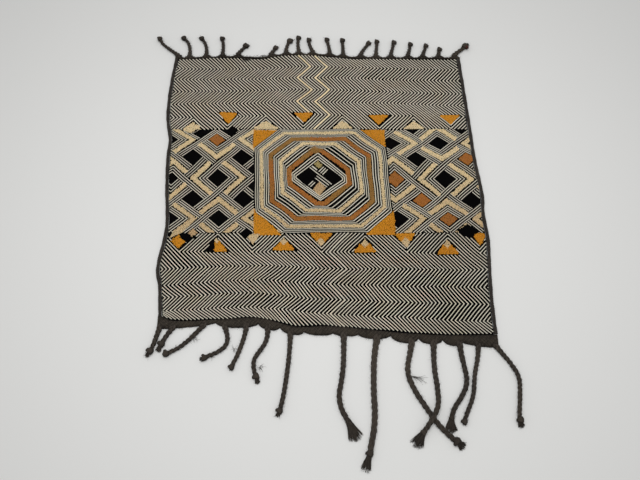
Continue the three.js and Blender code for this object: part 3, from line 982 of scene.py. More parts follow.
@dataclass
class Medallion:
    """Eight-sided rings of rows and plush round a heart of diamonds."""

    lean: float = -0.055
    shift: float = 1.0
    slant_x: float = 0.66
    slant_y: float = 0.751
    rows_between: int = 7
    pale_share: float = 0.43
    dark_share: float = 0.5
    widest_row: float = 2.0
    # the outermost dark rows lie this share of the gap inside it
    edge_share: float = 0.03
    rim: float = 0.4
    least_corner: float = 0.5
    # middle x, middle y, half width, half height, slant distance, width
    outline: tuple[float, ...] = (0, 0.4, 129.5, 116, 140.5, 0)
    rings: Table = (
        (0, 2.5, 116, 105, 124.5, 6),
        (-1.5, 3.5, 95.5, 89.5, 101.5, 8.5),
        (-1.5, 6.5, 76, 75.5, 76.5, 6.5),
        (-5, 6, 56.5, 60, 49.5, 9),
    )
    ring_tones: tuple[Tone, ...] = (Tone.CREAM, Tone.BROWN, Tone.CREAM, Tone.BROWN)
    # the plush is ochre left of and ahead of the corner, and for each ring listed by its number
    # right of the first place and behind the second
    ochre_corner: tuple[float, float] = (-22, 42)
    ochre_rings: Table = ((1, 86, 48), (3, 16, -14))
    # half width, reach ahead, reach behind and bluntness of the heart's frames
    heart_frames: Table = ((51.5, 57, 49, 8), (47.7, 50, 44.5, 5), (44, 43, 40, 2))
    heart_frame_width: float = 2.1
    heart_middle: tuple[float, float] = (-4, 3)
    heart_slope: float = -0.06
    # the first row of each set: x and y of its start, length, width; then their number and spacing
    heart_rows: Table = (
        (-23, 27, 58, 2.2, 1, 0), (-6, 12, 33, 1.8, 3, 5), (-19, 30, 13.5, 3, 1, 0),
        (-6, 17, -15, 2.1, 3, 5), (-23.5, -12, -13, 2.2, 2, 5),
    )
    heart_fall: float = 42.0

    def distance(self, x: np.ndarray, y: np.ndarray, ring: Sequence[float]) -> np.ndarray:
        """How far a place lies outside an eight-sided ring's middle line."""
        across = np.abs(x - self.shift - self.lean * y - ring[0])
        along = np.abs(y - ring[1])
        slanted = self.slant_x * across + self.slant_y * along - ring[4]
        return np.maximum(np.maximum(across - ring[2], along - ring[3]), slanted)

    def outside(self, x: np.ndarray, y: np.ndarray) -> np.ndarray:
        """How far a place lies outside the medallion."""
        return self.distance(x, y, self.outline)

    def loop(self, ring: Sequence[float]) -> np.ndarray:
        """Closed path along an eight-sided ring."""
        width, height, reach = ring[2:5]
        least = self.least_corner
        side = np.clip((reach - self.slant_x * width) / self.slant_y, least, height - least)
        top = np.clip((reach - self.slant_y * height) / self.slant_x, least, width - least)
        corners = np.array([
            (width, side), (top, height), (-top, height), (-width, side), (-width, -side),
            (-top, -height), (top, -height), (width, -side), (width, side),
        ]) + ring[:2]
        corners[:, 0] += self.shift + self.lean * corners[:, 1]
        return corners

    def _between(self, outer: np.ndarray, inner: np.ndarray) -> list[Row]:
        """Rows between two rings, on each side as wide as its gap allows.

        Args:
            outer: the outer ring's inner edge, as a closed path.
            inner: the inner ring's outer edge, as a closed path.

        Returns:
            Three pale rows and four dark ones for each side.
        """
        made = []
        for k in range(self.rows_between):
            pale = k % 2 == 1
            share = np.clip(k / (self.rows_between - 1), self.edge_share, 1 - self.edge_share)
            path = outer + (inner - outer) * share
            for start, end, across in zip(path[:-1], path[1:], (inner - outer)[:-1]):
                way = (end - start) / np.linalg.norm(end - start)
                pitch = abs(across[0] * way[1] - across[1] * way[0]) / (self.rows_between // 2)
                width = min(pitch * (self.pale_share if pale else self.dark_share), self.widest_row)
                made.append(Row(np.array([start, end]), width, Tone.PALE if pale else Tone.DARK))
        return made

    def rows(self) -> list[Row]:
        """Rows between the rings, and those of the heart."""
        made = []
        rings = [self.outline, *self.rings]
        for outer, inner in zip(rings[:-1], rings[1:]):
            start = np.array(outer[:5]) - (0, 0, *[outer[5] / 2] * 3)
            end = np.array(inner[:5]) + (0, 0, *[inner[5] / 2] * 3)
            made += self._between(self.loop(start), self.loop(end))
        for width, ahead, behind, blunt in self.heart_frames:
            frame = np.array([
                (0, ahead), (width, blunt), (width, -blunt), (0, -behind),
                (-width, -blunt), (-width, blunt), (0, ahead),
            ])
            skew = np.column_stack([frame[:, 1] * self.lean, frame[:, 0] * self.heart_slope])
            made.append(Row(frame + skew + self.heart_middle, self.heart_frame_width, Tone.PALE))
        fall = math.radians(self.heart_fall)
        falling = np.array([math.cos(fall), -math.sin(fall)])
        rising = np.array([math.sin(fall), math.cos(fall)])
        for x, y, length, width, count, spacing in self.heart_rows:
            way = falling if length > 0 else rising
            aside = np.array([way[1], -way[0]]) * spacing
            for k in range(int(count)):
                start = np.array([x, y]) + aside * k
                made.append(Row(np.array([start, start + way * abs(length)]), width, Tone.PALE))
        return made

    def pads(self) -> list[Pad]:
        """The rings' pads on cleared ground, with their ochre parts last."""
        def on_ring(x: np.ndarray, y: np.ndarray, ring: Sequence[float]) -> np.ndarray:
            """True where a place is on a ring."""
            return np.abs(self.distance(x, y, ring)) < ring[5] / 2

        made = [Pad(lambda x, y: self.outside(x, y) < 0, None)]
        for ring, tone in zip(self.rings, self.ring_tones):
            made.append(Pad(lambda x, y, r=ring: on_ring(x, y, r), tone))
        left, ahead = self.ochre_corner
        for number, right, behind in self.ochre_rings:
            made.append(Pad(
                lambda x, y, r=self.rings[number], s=right, e=behind: on_ring(x, y, r)
                & (((x < left) & (y > ahead)) | ((x > s) & (y < e))),
                Tone.OCHRE,
            ))
        return made


@dataclass
class Herringbone:
    """Zigzag rows that run from one end of the panel to the interlaced blocks."""

    name: str
    end: End
    # first the places across, then the turns' places along, a line for each row of turns
    stations: tuple[float, ...]
    turns: Table
    meets: tuple[float, ...]
    parts: tuple[float, ...]
    border: float
    cream: tuple[float, ...] = ()
    pitch: float = 7.1
    spread: float = 0.95
    first_reach: float = 29.0
    pale_width: float = 2.1
    dark_width: float = 2.3
    cream_width: float = 4.2
    wide_tone: Tone = Tone.CREAM
    half_count: int = 52
    overrun: float = 3.0
    border_reach: float = 40.0
    border_room: float = 6.0
    warp_step: float = 6.0

    def __post_init__(self) -> None:
        """Sets each row of turns at its mean level, with the panel's end before and the border after."""
        facing = -self.end.value
        levels = [float(np.mean(row)) for row in self.turns]
        last = self.border + facing * self.border_reach
        self.levels = [levels[0] - facing * self.first_reach, *levels, last]

    def _warped(self, path: np.ndarray, start: Curve) -> np.ndarray:
        """Path with its even levels brought to where the turns really lie.

        Args:
            path: rows of x and even y.
            start: the panel's end line.

        Returns:
            The path on the cloth.
        """
        path = densify(path, self.warp_step)
        x = path[:, 0]
        true = [start(x)]
        true += [Curve(tuple(zip(self.stations, row)))(x) for row in self.turns]
        true.append(np.full(len(x), self.levels[-1]))
        even = np.array(self.levels) * self.end.value
        y = path[:, 1] * self.end.value
        k = np.clip(len(even) - 2 - (np.searchsorted(even[::-1], y) - 1), 0, len(even) - 2)
        share = (even[k] - y) / (even[k] - even[k + 1])
        table = np.array(true)
        column = np.arange(len(x))
        moved = table[k, column] + (table[k + 1, column] - table[k, column]) * share
        return np.column_stack([x, moved])

    def _zigzag(self, x: float) -> np.ndarray:
        """Path of one row from the panel's end to its last turn, at even levels."""
        hand = self.end.value
        points = [(x - hand * self.overrun * self.spread, self.levels[0] + self.overrun * hand)]
        for before, level in zip(self.levels, self.levels[1:-1]):
            x += hand * self.spread * abs(level - before)
            points.append((x, level))
            hand = -hand
        return np.array(points)

    def _onward(self, x: float, y: float, way: int, meets: np.ndarray) -> tuple[float, float]:
        """End of a row that runs on from its last turn.

        Args:
            x: where it starts.
            y: where it starts.
            way: 1 if it runs to the right, or -1.
            meets: places across where rows from both sides meet.

        Returns:
            The row's last place.
        """
        facing = -self.end.value
        room = abs(self.border - y) + self.border_room
        beyond = meets[(meets - x) * way > TOUCHING]
        run = min(np.abs(beyond - x).min() if len(beyond) else np.inf, room * self.spread)
        return x + way * run, y + facing * run / self.spread

    def _family(self, starts: np.ndarray, tone: Tone, meets: np.ndarray, parts: np.ndarray) -> list[Row]:
        """Rows of one tone, at even levels.

        Args:
            starts: where the rows leave the panel's end.
            tone: their tone.
            meets: places across where rows from both sides meet.
            parts: places across where rows part to both sides.

        Returns:
            The rows.
        """
        hand, facing = self.end.value, -self.end.value
        wide = {int(np.abs(starts - x).argmin()) for x in self.cream} if tone is Tone.PALE else set()
        width = self.pale_width if tone is Tone.PALE else self.dark_width
        made = []
        ends = []
        for k, x in enumerate(starts):
            path = self._zigzag(x)
            ends.append(path[-1])
            x, y = path[-1]
            met = [m * hand for m in meets if (x - m) * hand >= -TOUCHING]
            parted = [p * hand for p in parts if (x - p) * hand >= -TOUCHING]
            turned = not parted or (bool(met) and max(met) > max(parted))
            if np.abs(meets - x).min() > TOUCHING:
                path = np.vstack([path, self._onward(x, y, -hand if turned else hand, meets)])
            cream = k in wide
            made.append(Row(path, self.cream_width if cream else width, self.wide_tone if cream else tone))
        for part in parts:
            for x, y in ends:
                away = (x - part) * hand
                if -TOUCHING < away < abs(self.border - y) * self.spread:
                    apex = (part, y + facing * away / self.spread)
                    arms = [self._onward(*apex, way, meets) for way in (-hand, hand)]
                    path = [arms[0], apex, arms[1]] if away > TOUCHING else [arms[0], apex]
                    made.append(Row(np.array(path), width, tone))
        return made

    def rows(self, shape: ClothShape) -> list[Row]:
        """Every pale and dark row of the field."""
        start = shape.far if self.end is End.FAR else shape.near
        starts = np.arange(-self.half_count, self.half_count) * self.pitch
        arrivals = np.array([self._zigzag(x)[-1][0] for x in starts])
        halves = np.sort(np.concatenate([arrivals, arrivals + self.pitch / 2]))
        snapped = [
            np.array([halves[np.abs(halves - place).argmin()] for place in places])
            for places in (self.meets, self.parts)
        ]
        made = self._family(starts, Tone.PALE, *snapped)
        made += self._family(starts + self.pitch / 2, Tone.DARK, *snapped)
        return [Row(self._warped(row.path, start), row.width, row.tone) for row in made]


@dataclass
class Triangles:
    """Plush triangles between the interlaced blocks and the herringbone fields."""

    # middle, base, tip, half width
    places: Table = (
        (-187, 156, 129, 20), (-35, 156, 134, 21), (116, 150, 127, 21), (259, 150, 127, 21),
        (-256, 117, 134, 19), (-110, 117, 136, 27), (42, 117, 136, 21), (184, 117, 135, 22),
        (-193, -154, -126, 22), (-69, -152, -126, 22), (81, -156, -129, 22), (233, -160, -132, 21),
        (-128, -119, -140, 15), (-1, -117, -143, 22), (156, -117, -147, 20), (-262, -117, -148, 22),
        (293, -117, -142, 16),
    )
    # tone of the base, of the tip, and the share of the height where the tip's begins
    tones: tuple[tuple[Tone | None, Tone, float], ...] = (
        (Tone.GOLD, Tone.GOLD, 1), (Tone.GOLD, Tone.GOLD, 1), (Tone.GOLD, Tone.GOLD, 1),
        (Tone.GOLD, Tone.GOLD, 1), (Tone.CREAM, Tone.CREAM, 1), (Tone.CREAM, Tone.CREAM, 1),
        (Tone.CREAM, Tone.CREAM, 1), (Tone.CREAM, Tone.CREAM, 1), (Tone.GOLD, Tone.CREAM, 0.6),
        (Tone.GOLD, Tone.CREAM, 0.4), (Tone.GOLD, Tone.CREAM, 0.35), (Tone.GOLD, Tone.CREAM, 0.4),
        (Tone.CREAM, Tone.CREAM, 1), (Tone.GOLD, Tone.CREAM, 0.35), (Tone.GOLD, Tone.CREAM, 0.25),
        (None, Tone.CREAM, 1), (Tone.GOLD, Tone.GOLD, 1),
    )
    # triangles whose left half is black
    half_black: tuple[int, ...] = (8,)
    black_gap: float = 3.0
    blunt: float = 0.88
    dark_rim: float = 1.12
    tip_slope: float = 1.1

    def outlines(self) -> list[np.ndarray]:
        """Outlines of the triangles."""
        return [
            np.array([(x - half, base), (x + half, base), (x, tip)]) for x, base, tip, half in self.places
        ]

    def clear(self, x: np.ndarray, y: np.ndarray) -> np.ndarray:
        """True off the triangles and their dark outlines."""
        free = np.ones(np.shape(x), bool)
        for outline in self.outlines():
            middle = outline.mean(0)
            free &= ~within(middle + (outline - middle) * self.dark_rim, x, y)
        return free

    def pads(self) -> list[Pad]:
        """The triangles' pads, each with a second tone at its tip or on its left."""
        made = []
        for number, (outline, place, tones) in enumerate(zip(self.outlines(), self.places, self.tones)):
            base_tone, tip_tone, share = tones
            if base_tone is None:
                continue
            middle, base, tip, half = place
            width = half * self.blunt
            made.append(Pad(
                lambda x, y, o=outline, m=middle, w=width: within(o, x, y) & (np.abs(x - m) < w), base_tone,
            ))
            if number in self.half_black:
                made.append(Pad(
                    lambda x, y, o=outline, m=middle, w=width:
                    within(o, x, y) & (x < m - self.black_gap) & (x > m - w),
                    Tone.BLACK,
                ))
            if share < 1:
                level = lerp(base, tip, share)
                made.append(Pad(
                    lambda x, y, o=outline, m=middle, l=level, t=tip:
                    within(o, x, y) & (np.abs(y - t) + self.tip_slope * np.abs(x - m) < abs(l - t)),
                    tip_tone,
                ))
        return made


@dataclass(frozen=True)
class Patch:
    """One plush lozenge: its tone, its middle, its half width and height, and how it slopes."""

    tone: Tone
    x: float
    y: float
    across: float
    along: float
    slope: float = 0.0

    def inside(self, x: np.ndarray, y: np.ndarray) -> np.ndarray:
        """True where a place is on the patch."""
        level = self.y + self.slope * (x - self.x)
        return np.abs(x - self.x) / self.across + np.abs(y - level) / self.along < 1

    def pad(self) -> Pad:
        """The patch's pad."""
        return Pad(self.inside, self.tone)


@dataclass(frozen=True)
class Notch:
    """One gold three-cornered patch beside the medallion: its outer corner and its two legs."""

    x: float
    y: float
    across: float
    along: float

    def inside(self, x: np.ndarray, y: np.ndarray) -> np.ndarray:
        """True where a place is on the patch."""
        u, v = (x - self.x) / self.across, (y - self.y) / self.along
        return (u > 0) & (v > 0) & (u + v < 1)

    def pad(self) -> Pad:
        """The patch's pad."""
        return Pad(self.inside, Tone.GOLD)


NOTCHES = (
    Notch(-134, 114, 52, -42), Notch(126, 115, -52, -50),
    Notch(137, -120, -54, 50), Notch(-127, -121, 54, 55),
)

# stray patches where the interlaced blocks run into the herringbone fields
EDGE_PATCHES = (
    Patch(Tone.CREAM, -258, 120, 18, 12, 0.3),
    Patch(Tone.BLACK, -239, 108, 14, 9),
    Patch(Tone.BLACK, -177.5, 113, 13, 10),
    Patch(Tone.CREAM, -260, -106, 26, 9, 0.87),
    Patch(Tone.GOLD, -265, -133, 14, 14),
    Patch(Tone.BLACK, -248, -124, 16, 12),
    Patch(Tone.BEIGE, -240, -115, 9, 8),
    Patch(Tone.BLACK, -141, -118, 12, 10),
    Patch(Tone.BLACK, 273, -113, 22, 15),
)

# lozenges of the heart, and the one above its ring
HEART_PATCHES = (
    Patch(Tone.BLACK, -28, 4, 17.5, 19.5),
    Patch(Tone.BLACK, 21.5, 3.5, 16.5, 15),
    Patch(Tone.OLIVE, -6.5, 32.5, 8.5, 9.5, -0.2),
    Patch(Tone.BEIGE, -3, -20.5, 12.5, 15.5, 0.1),
    Patch(Tone.OCHRE, -12, 67, 14, 9),
)


@dataclass
class Ground:
    """Woven cloth under the embroidery, a sheet with a flat underside."""

    shape: ClothShape
    steps_across: int = 92
    steps_along: int = 92

    def build(self, effects: Effects) -> bpy.types.Object:
        """Makes the sheet.

        Args:
            effects: the shared node groups.

        Returns:
            The sheet, riding on the root.
        """
        rows, columns = self.steps_along + 1, self.steps_across + 1
        s, t = np.meshgrid(np.linspace(0, 1, columns), np.linspace(0, 1, rows))
        x, y = self.shape.panel_point(s, t)
        upper = np.stack([x, y, self.shape.top(x, y)], -1).reshape(-1, 3)
        lower = upper * (1, 1, 0)
        quads = grid_faces(rows, columns)
        rim = np.concatenate([
            np.arange(columns), np.arange(1, rows) * columns + columns - 1,
            rows * columns - 1 - np.arange(1, columns), np.arange(rows - 2, 0, -1) * columns,
        ])
        following = np.roll(rim, -1)
        total = rows * columns
        wall = np.stack([rim + total, following + total, following, rim], 1)
        sheaf = Sheaf()
        points = np.concatenate([upper, lower])
        sheaf.add(points, [quads, quads[:, ::-1] + total, wall], points[:, :2].copy(), 0.5)
        piece = sheaf.build("raffia_ground", self.shape)
        piece.data.materials.append(GROUND.material(effects))
        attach(piece, "root")
        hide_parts("panel")
        return piece


@dataclass
class Embroidery:
    """Raised rows of stitches on the ground."""

    shape: ClothShape
    height: float = 0.55
    dark_height: float = 0.38
    step: float = 4.2
    sunk: float = 0.12
    rounded: float = 0.7
    least_rounded: float = 1.6
    least_mitre: float = 0.62
    # places across a row where its edges and the shoulders of its ridge lie, as shares of its width
    section: tuple[float, ...] = (-0.5, -0.24, 0.24, 0.5)
    dullest: float = 0.35
    run_on: float = 40.0

    def _rib(self, sheaf: Sheaf, row: Row, shade: float, run: float) -> None:
        """Adds one row as a low rounded ridge.

        Args:
            sheaf: where it is gathered.
            row: the row.
            shade: how light it is, from 0 to 1.
            run: where its stitches start, in millimetres.
        """
        path = densify(row.path, self.step)
        length = np.linalg.norm(np.diff(path, axis=0), axis=1)
        for at, end, inner in ((1, 0, 1), (-1, -1, -2)):
            if length[end] > self.least_rounded * self.rounded:
                share = self.rounded / length[end]
                path = np.insert(path, at, path[end] + (path[inner] - path[end]) * share, axis=0)
        path = np.stack(self.shape.wander(path[:, 0], path[:, 1]), 1)
        ways = np.diff(path, axis=0)
        steps = np.linalg.norm(ways, axis=1)
        ways = unit(ways)
        first = np.concatenate([ways[:1], ways])
        middle = unit(first + np.concatenate([ways, ways[-1:]]))
        mitre = 1 / np.clip((middle * first).sum(1), self.least_mitre, 1)
        across = np.stack([middle[:, 1], -middle[:, 0]], 1) * mitre[:, None]
        section = np.array(self.section) * row.width
        height = self.dark_height if row.tone is Tone.DARK else self.height
        spots = path[:, None] + across[:, None] * section[None, :, None]
        lift = np.tile([-self.sunk, height, height, -self.sunk], (len(path), 1))
        lift[[0, -1]] = -self.sunk
        level = self.shape.top(spots[..., 0], spots[..., 1]) + lift
        points = np.concatenate([spots, level[..., None]], -1).reshape(-1, 3)
        along = np.concatenate([[0], np.cumsum(steps)]) + run
        uv = np.stack(np.broadcast_arrays(along[:, None], section[None]), -1).reshape(-1, 2)
        sheaf.add(points, [grid_faces(len(path), 4)], uv, shade)

    def build(self, name: str, rows: list[Row], keep: Mask, effects: Effects) -> list[bpy.types.Object]:
        """Makes the rows of one part of the cloth, a piece for each tone.

        Args:
            name: start of the pieces' names.
            rows: the rows.
            keep: tells where rows may lie.
            effects: the shared node groups.

        Returns:
            The pieces.
        """
        rng = np.random.default_rng(SEED)
        pieces = []
        for tone, finish in EMBROIDERY.items():
            sheaf = Sheaf()
            for row in rows:
                if row.tone is not tone:
                    continue
                for path in clipped(row.path, keep):
                    shade = float(rng.uniform(self.dullest, 1.0))
                    self._rib(sheaf, Row(path, row.width, tone), shade, float(rng.uniform(0, self.run_on)))
            if not sheaf.count:
                continue
            piece = sheaf.build(f"{name}_{tone.value}", self.shape)
            piece.data.materials.append(finish.material(effects))
            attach(piece, "root")
            pieces.append(piece)
        return pieces


@dataclass
class Pile:
    """Cut pile of the plush pads, a tuft for each stitch."""

    shape: ClothShape
    spacing: float = 1.45
    jitter: float = 0.3
    height: float = 1.15
    height_varies: float = 0.16
    base: float = 1.15
    crown: float = 0.92
    lean: float = 0.3
    faded_from: float = 40.0
    faded_to: float = -110.0
    faded: float = 0.75
    ragged: float = 0.5
    reach_x: float = 320.0
    reach_y: float = 180.0
    line_share: float = 0.866
    sunk: float = 0.15
    tip_varies: float = 0.08
    dullest: float = 0.7
    # painted shade: the feet of the tufts are darker than their crowns
    painted_foot_shade: float = 0.55

    def build(self, pads: list[Pad], keep: Mask, effects: Effects) -> list[bpy.types.Object]:
        """Makes the tufts, a piece for each tone.

        Args:
            pads: the pads, later ones on top of earlier ones.
            keep: tells where tufts may stand.
            effects: the shared node groups.

        Returns:
            The pieces.
        """
        rng = np.random.default_rng(SEED + 1)
        columns = np.arange(-self.reach_x, self.reach_x, self.spacing)
        lines = np.arange(-self.reach_y, self.reach_y, self.spacing * self.line_share)
        x, y = np.meshgrid(columns, lines)
        x = x + np.where(np.arange(len(lines)) % 2, self.spacing / 2, 0)[:, None]
        x = (x + rng.normal(0, self.jitter, x.shape)).ravel()
        y = (y + rng.normal(0, self.jitter, y.shape)).ravel()
        seen_x = x + rng.normal(0, self.ragged, x.shape)
        seen_y = y + rng.normal(0, self.ragged, y.shape)
        tones = list(PILE)
        kind = np.full(x.shape, -1)
        for pad in pads:
            kind[pad.inside(seen_x, seen_y)] = tones.index(pad.tone) if pad.tone else -1
        kind[~keep(x, y)] = -1
        pieces = []
        for number, tone in enumerate(tones):
            chosen = kind == number
            if not chosen.any():
                continue
            piece = self._tufts(tone, x[chosen], y[chosen], rng)
            piece.data.materials.append(PILE[tone].material(effects))
            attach(piece, "root")
            pieces.append(piece)
        return pieces

    def _tufts(self, tone: Tone, x: np.ndarray, y: np.ndarray, rng: np.random.Generator) -> bpy.types.Object:
        """Makes the tufts of one tone.

        Args:
            tone: their tone.
            x: their places across.
            y: their places along.
            rng: the source of their unevenness.

        Returns:
            The joined tufts.
        """
        x, y = self.shape.wander(x, y)
        count = len(x)
        foot = self.shape.top(x, y) - self.sunk
        rise = self.height + rng.normal(0, self.height_varies, count)
        turn = rng.uniform(0, math.tau, count)
        tip = rng.normal(0, self.lean, (count, 2))
        points = np.empty((count, 6, 3))
        for corner in range(3):
            angle = turn + corner * math.tau / 3
            cos, sin = np.cos(angle), np.sin(angle)
            points[:, corner] = np.stack([x + self.base * cos, y + self.base * sin, foot], 1)
            points[:, corner + 3] = np.stack([
                x + tip[:, 0] + self.crown * cos,
                y + tip[:, 1] + self.crown * sin,
                foot + rise + rng.normal(0, self.tip_varies, count),
            ], 1)
        first = np.arange(count)[:, None] * 6
        walls = np.concatenate([first + (k, (k + 1) % 3, (k + 1) % 3 + 3, k + 3) for k in range(3)])
        crowns = first + (3, 4, 5)
        fresh = rng.uniform(self.dullest, 1, count)
        if tone is Tone.CREAM:
            fresh *= 1 - self.faded * smoothstep(y, self.faded_from, self.faded_to)
        # painted shade: the three foot points of each tuft are darker than its crown
        shades = np.repeat(fresh, 6) * np.tile([self.painted_foot_shade] * 3 + [1.0] * 3, count)
        sheaf = Sheaf()
        flat = points.reshape(-1, 3)
        sheaf.add(flat, [walls, crowns], flat[:, :2].copy(), shades)
        return sheaf.build(f"pile_{tone.value}", self.shape)


@dataclass
class SideBinding:
    """Rolled edge of the cloth, whipped over with raffia."""

    shape: ClothShape
    side: int
    node: str
    width: float = 6.4
    height: float = 4.6
    uneven: float = 0.07
    cad_steps: int = 46
    step: float = 0.85
    sides: int = 12
    wrap: float = 3.3
    wrap_depth: float = 0.075
    wrap_drift: float = 11.0
    puff_rate: float = 1.9
    # reach and pace of the two swings in its width
    swings: Table = ((0.35, 7.3), (0.25, 3.1))
    swing_share: float = 0.6
    least_height: float = 0.02
    shade: float = 0.6

    def build(self, effects: Effects) -> bpy.types.Object:
        """Makes the binding.

        Args:
            effects: the shared node groups.

        Returns:
            The binding, in place of its node.
        """
        edge = self.shape.left if self.side < 0 else self.shape.right
        column = 0.0 if self.side < 0 else 1.0
        ends = [float(self.shape.panel_point(np.array(column), np.array(t))[1]) for t in (0.0, 1.0)]
        start, end = ends[0] + self.shape.seam_gap, ends[1] - self.shape.seam_gap
        count = int((end - start) / self.step)
        y = np.linspace(start, end, count)
        x = edge(y) - self.side * self.width / 2
        place = (y - start) / (end - start) * self.cad_steps
        puff = 1 - self.uneven * (1 + np.sin(place * self.puff_rate))
        (long_reach, long_pace), (short_reach, short_pace) = self.swings
        swing = long_reach * np.sin(y / long_pace + self.side) + short_reach * np.sin(y / short_pace)
        half = self.width / 2 + swing * self.swing_share
        turn = np.arange(self.sides) * math.tau / self.sides
        drift = np.sin(y / self.wrap_drift)[:, None]
        ridge = 1 + self.wrap_depth * np.cos(math.tau * y[:, None] / self.wrap + turn[None] + drift)
        out = np.cos(turn)[None] * half[:, None] * ridge
        up = (0.5 + 0.5 * np.sin(turn)[None] * ridge) * (self.height * puff)[:, None]
        ahead = np.broadcast_to(y[:, None], out.shape)
        points = np.stack([x[:, None] + out, ahead, np.maximum(up, self.least_height)], -1)
        run = np.stack(np.broadcast_arrays(y[:, None], (turn * self.width / 2)[None]), -1)
        last = (count - 1) * self.sides
        caps = np.array([np.arange(self.sides), last + np.arange(self.sides)[::-1]])
        sheaf = Sheaf()
        faces = grid_faces(count, self.sides, closed=True)[:, ::-1]
        sheaf.add(points.reshape(-1, 3), [faces, caps], run.reshape(-1, 2), self.shade)
        piece = sheaf.build(f"whipped_{self.node}", self.shape)
        piece.data.materials.append(BINDING.material(effects))
        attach(piece, "root")
        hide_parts(self.node)
        return piece


@dataclass
class Plait:
    """One three-strand plait: its root, its leans off straight ahead, its width, knot and loose end."""

    x: float
    length: float
    leans: tuple[float, ...]
    width: float
    knot: float
    knot_size: float = 1.1
    spread: float = 0.55


@dataclass(frozen=True)
class Fray:
    """Stray fibres: middle and reach of their roots, length, number, direction and scatter in degrees."""

    x: float
    y: float
    across: float
    along: float
    long: float
    count: int
    heading: float = 0.0
    scatter: float = 180.0
    curl: float = 2.2
    height: float = 1.8
    gathered: float = 0.45
    shares: Range = (0.5, 1)
    loose: Range = (0, 1.4)
    wave: float = 0.6
    wave_pace: float = 3.0
    radius: Range = (0.18, 0.34)
    taper: float = 0.5
    points: int = 6
    sides: int = 4
    shade: Range = (0, 0.7)


@dataclass(frozen=True)
class Strands:
    """How the three strands of a plait lie."""

    # the swing to the sides and the radius, as shares of the plait's width
    swing: float = 0.27
    radius: float = 0.235
    rise: float = 1.05
    # length of a whole turn in a plait of the usual width
    twist: float = 25.0
    usual_width: float = 8.0
    # even and chance unevenness of the radius, and the pace of the even one
    even: float = 0.08
    chance: float = 0.05
    pace: float = 3.7
    sides: int = 7
    # chance spread of the strands' painted shade
    shade: Range = (0.9, 1.1)


@dataclass(frozen=True)
class Wraps:
    """How the knot of a plait is wound."""

    middle: float = 3.9
    rise: float = 1.9
    reach: float = 0.48
    varies: Range = (0.94, 1.06)
    # shift along, tilt and size of each wrap
    places: Table = ((-1.9, 0.5, 1.0), (1.7, -0.55, 1.05), (0.1, 0.15, 1.16))
    tilt_reach: float = 3.0
    half_width: float = 2.1
    half_height: float = 1.8
    points: int = 14
    sides: int = 7
    # painted shade: the wraps are darker the lower they lie, with full light at this height; shade adds a
    # chance spread
    painted_light_height: float = 8.0
    shade: Range = (0.7, 1)


@dataclass(frozen=True)
class Tails:
    """How the loose fibres past a knot or in an open fan lie."""

    # number of fibres for each unit of the tail's spread, and besides
    fibres: float = 110
    least: float = 40
    overlap: float = 2.0
    reach: Range = (0.5, 1.0)
    # reach of the middle fibres, and how much shorter the outermost are
    longest: float = 1.05
    shorter: float = 0.25
    margin: float = 0.05
    root_spread: float = 0.35
    opening: float = 1.3
    spread: Range = (0.5, 1.1)
    wave: Range = (-0.7, 0.7)
    wave_pace: Range = (2, 7)
    falls: float = 0.4
    rest: float = 0.4
    lift: Range = (0.3, 4.0)
    loose: Range = (0, 1.2)
    radius: Range = (0.35, 0.65)
    taper: float = 0.6
    sides: int = 4
    shade: Range = (0.2, 1.0)


@dataclass(frozen=True)
class Hairs:
    """How the fine fibres that stand off a felted edge lie."""

    per_mm: float = 1.5
    outward: Range = (0.3, 1)
    length: Range = (1.5, 4.5)
    root: Range = (0.6, 0.95)
    curl: float = 0.5
    height: Range = (1, 4.5)
    rise: Range = (-1.5, 1.2)
    least_height: float = 0.15
    # radius at the root and at the tip
    radius: Range = (0.13, 0.05)
    points: int = 4
    sides: int = 3
    shade: Range = (0.3, 1)


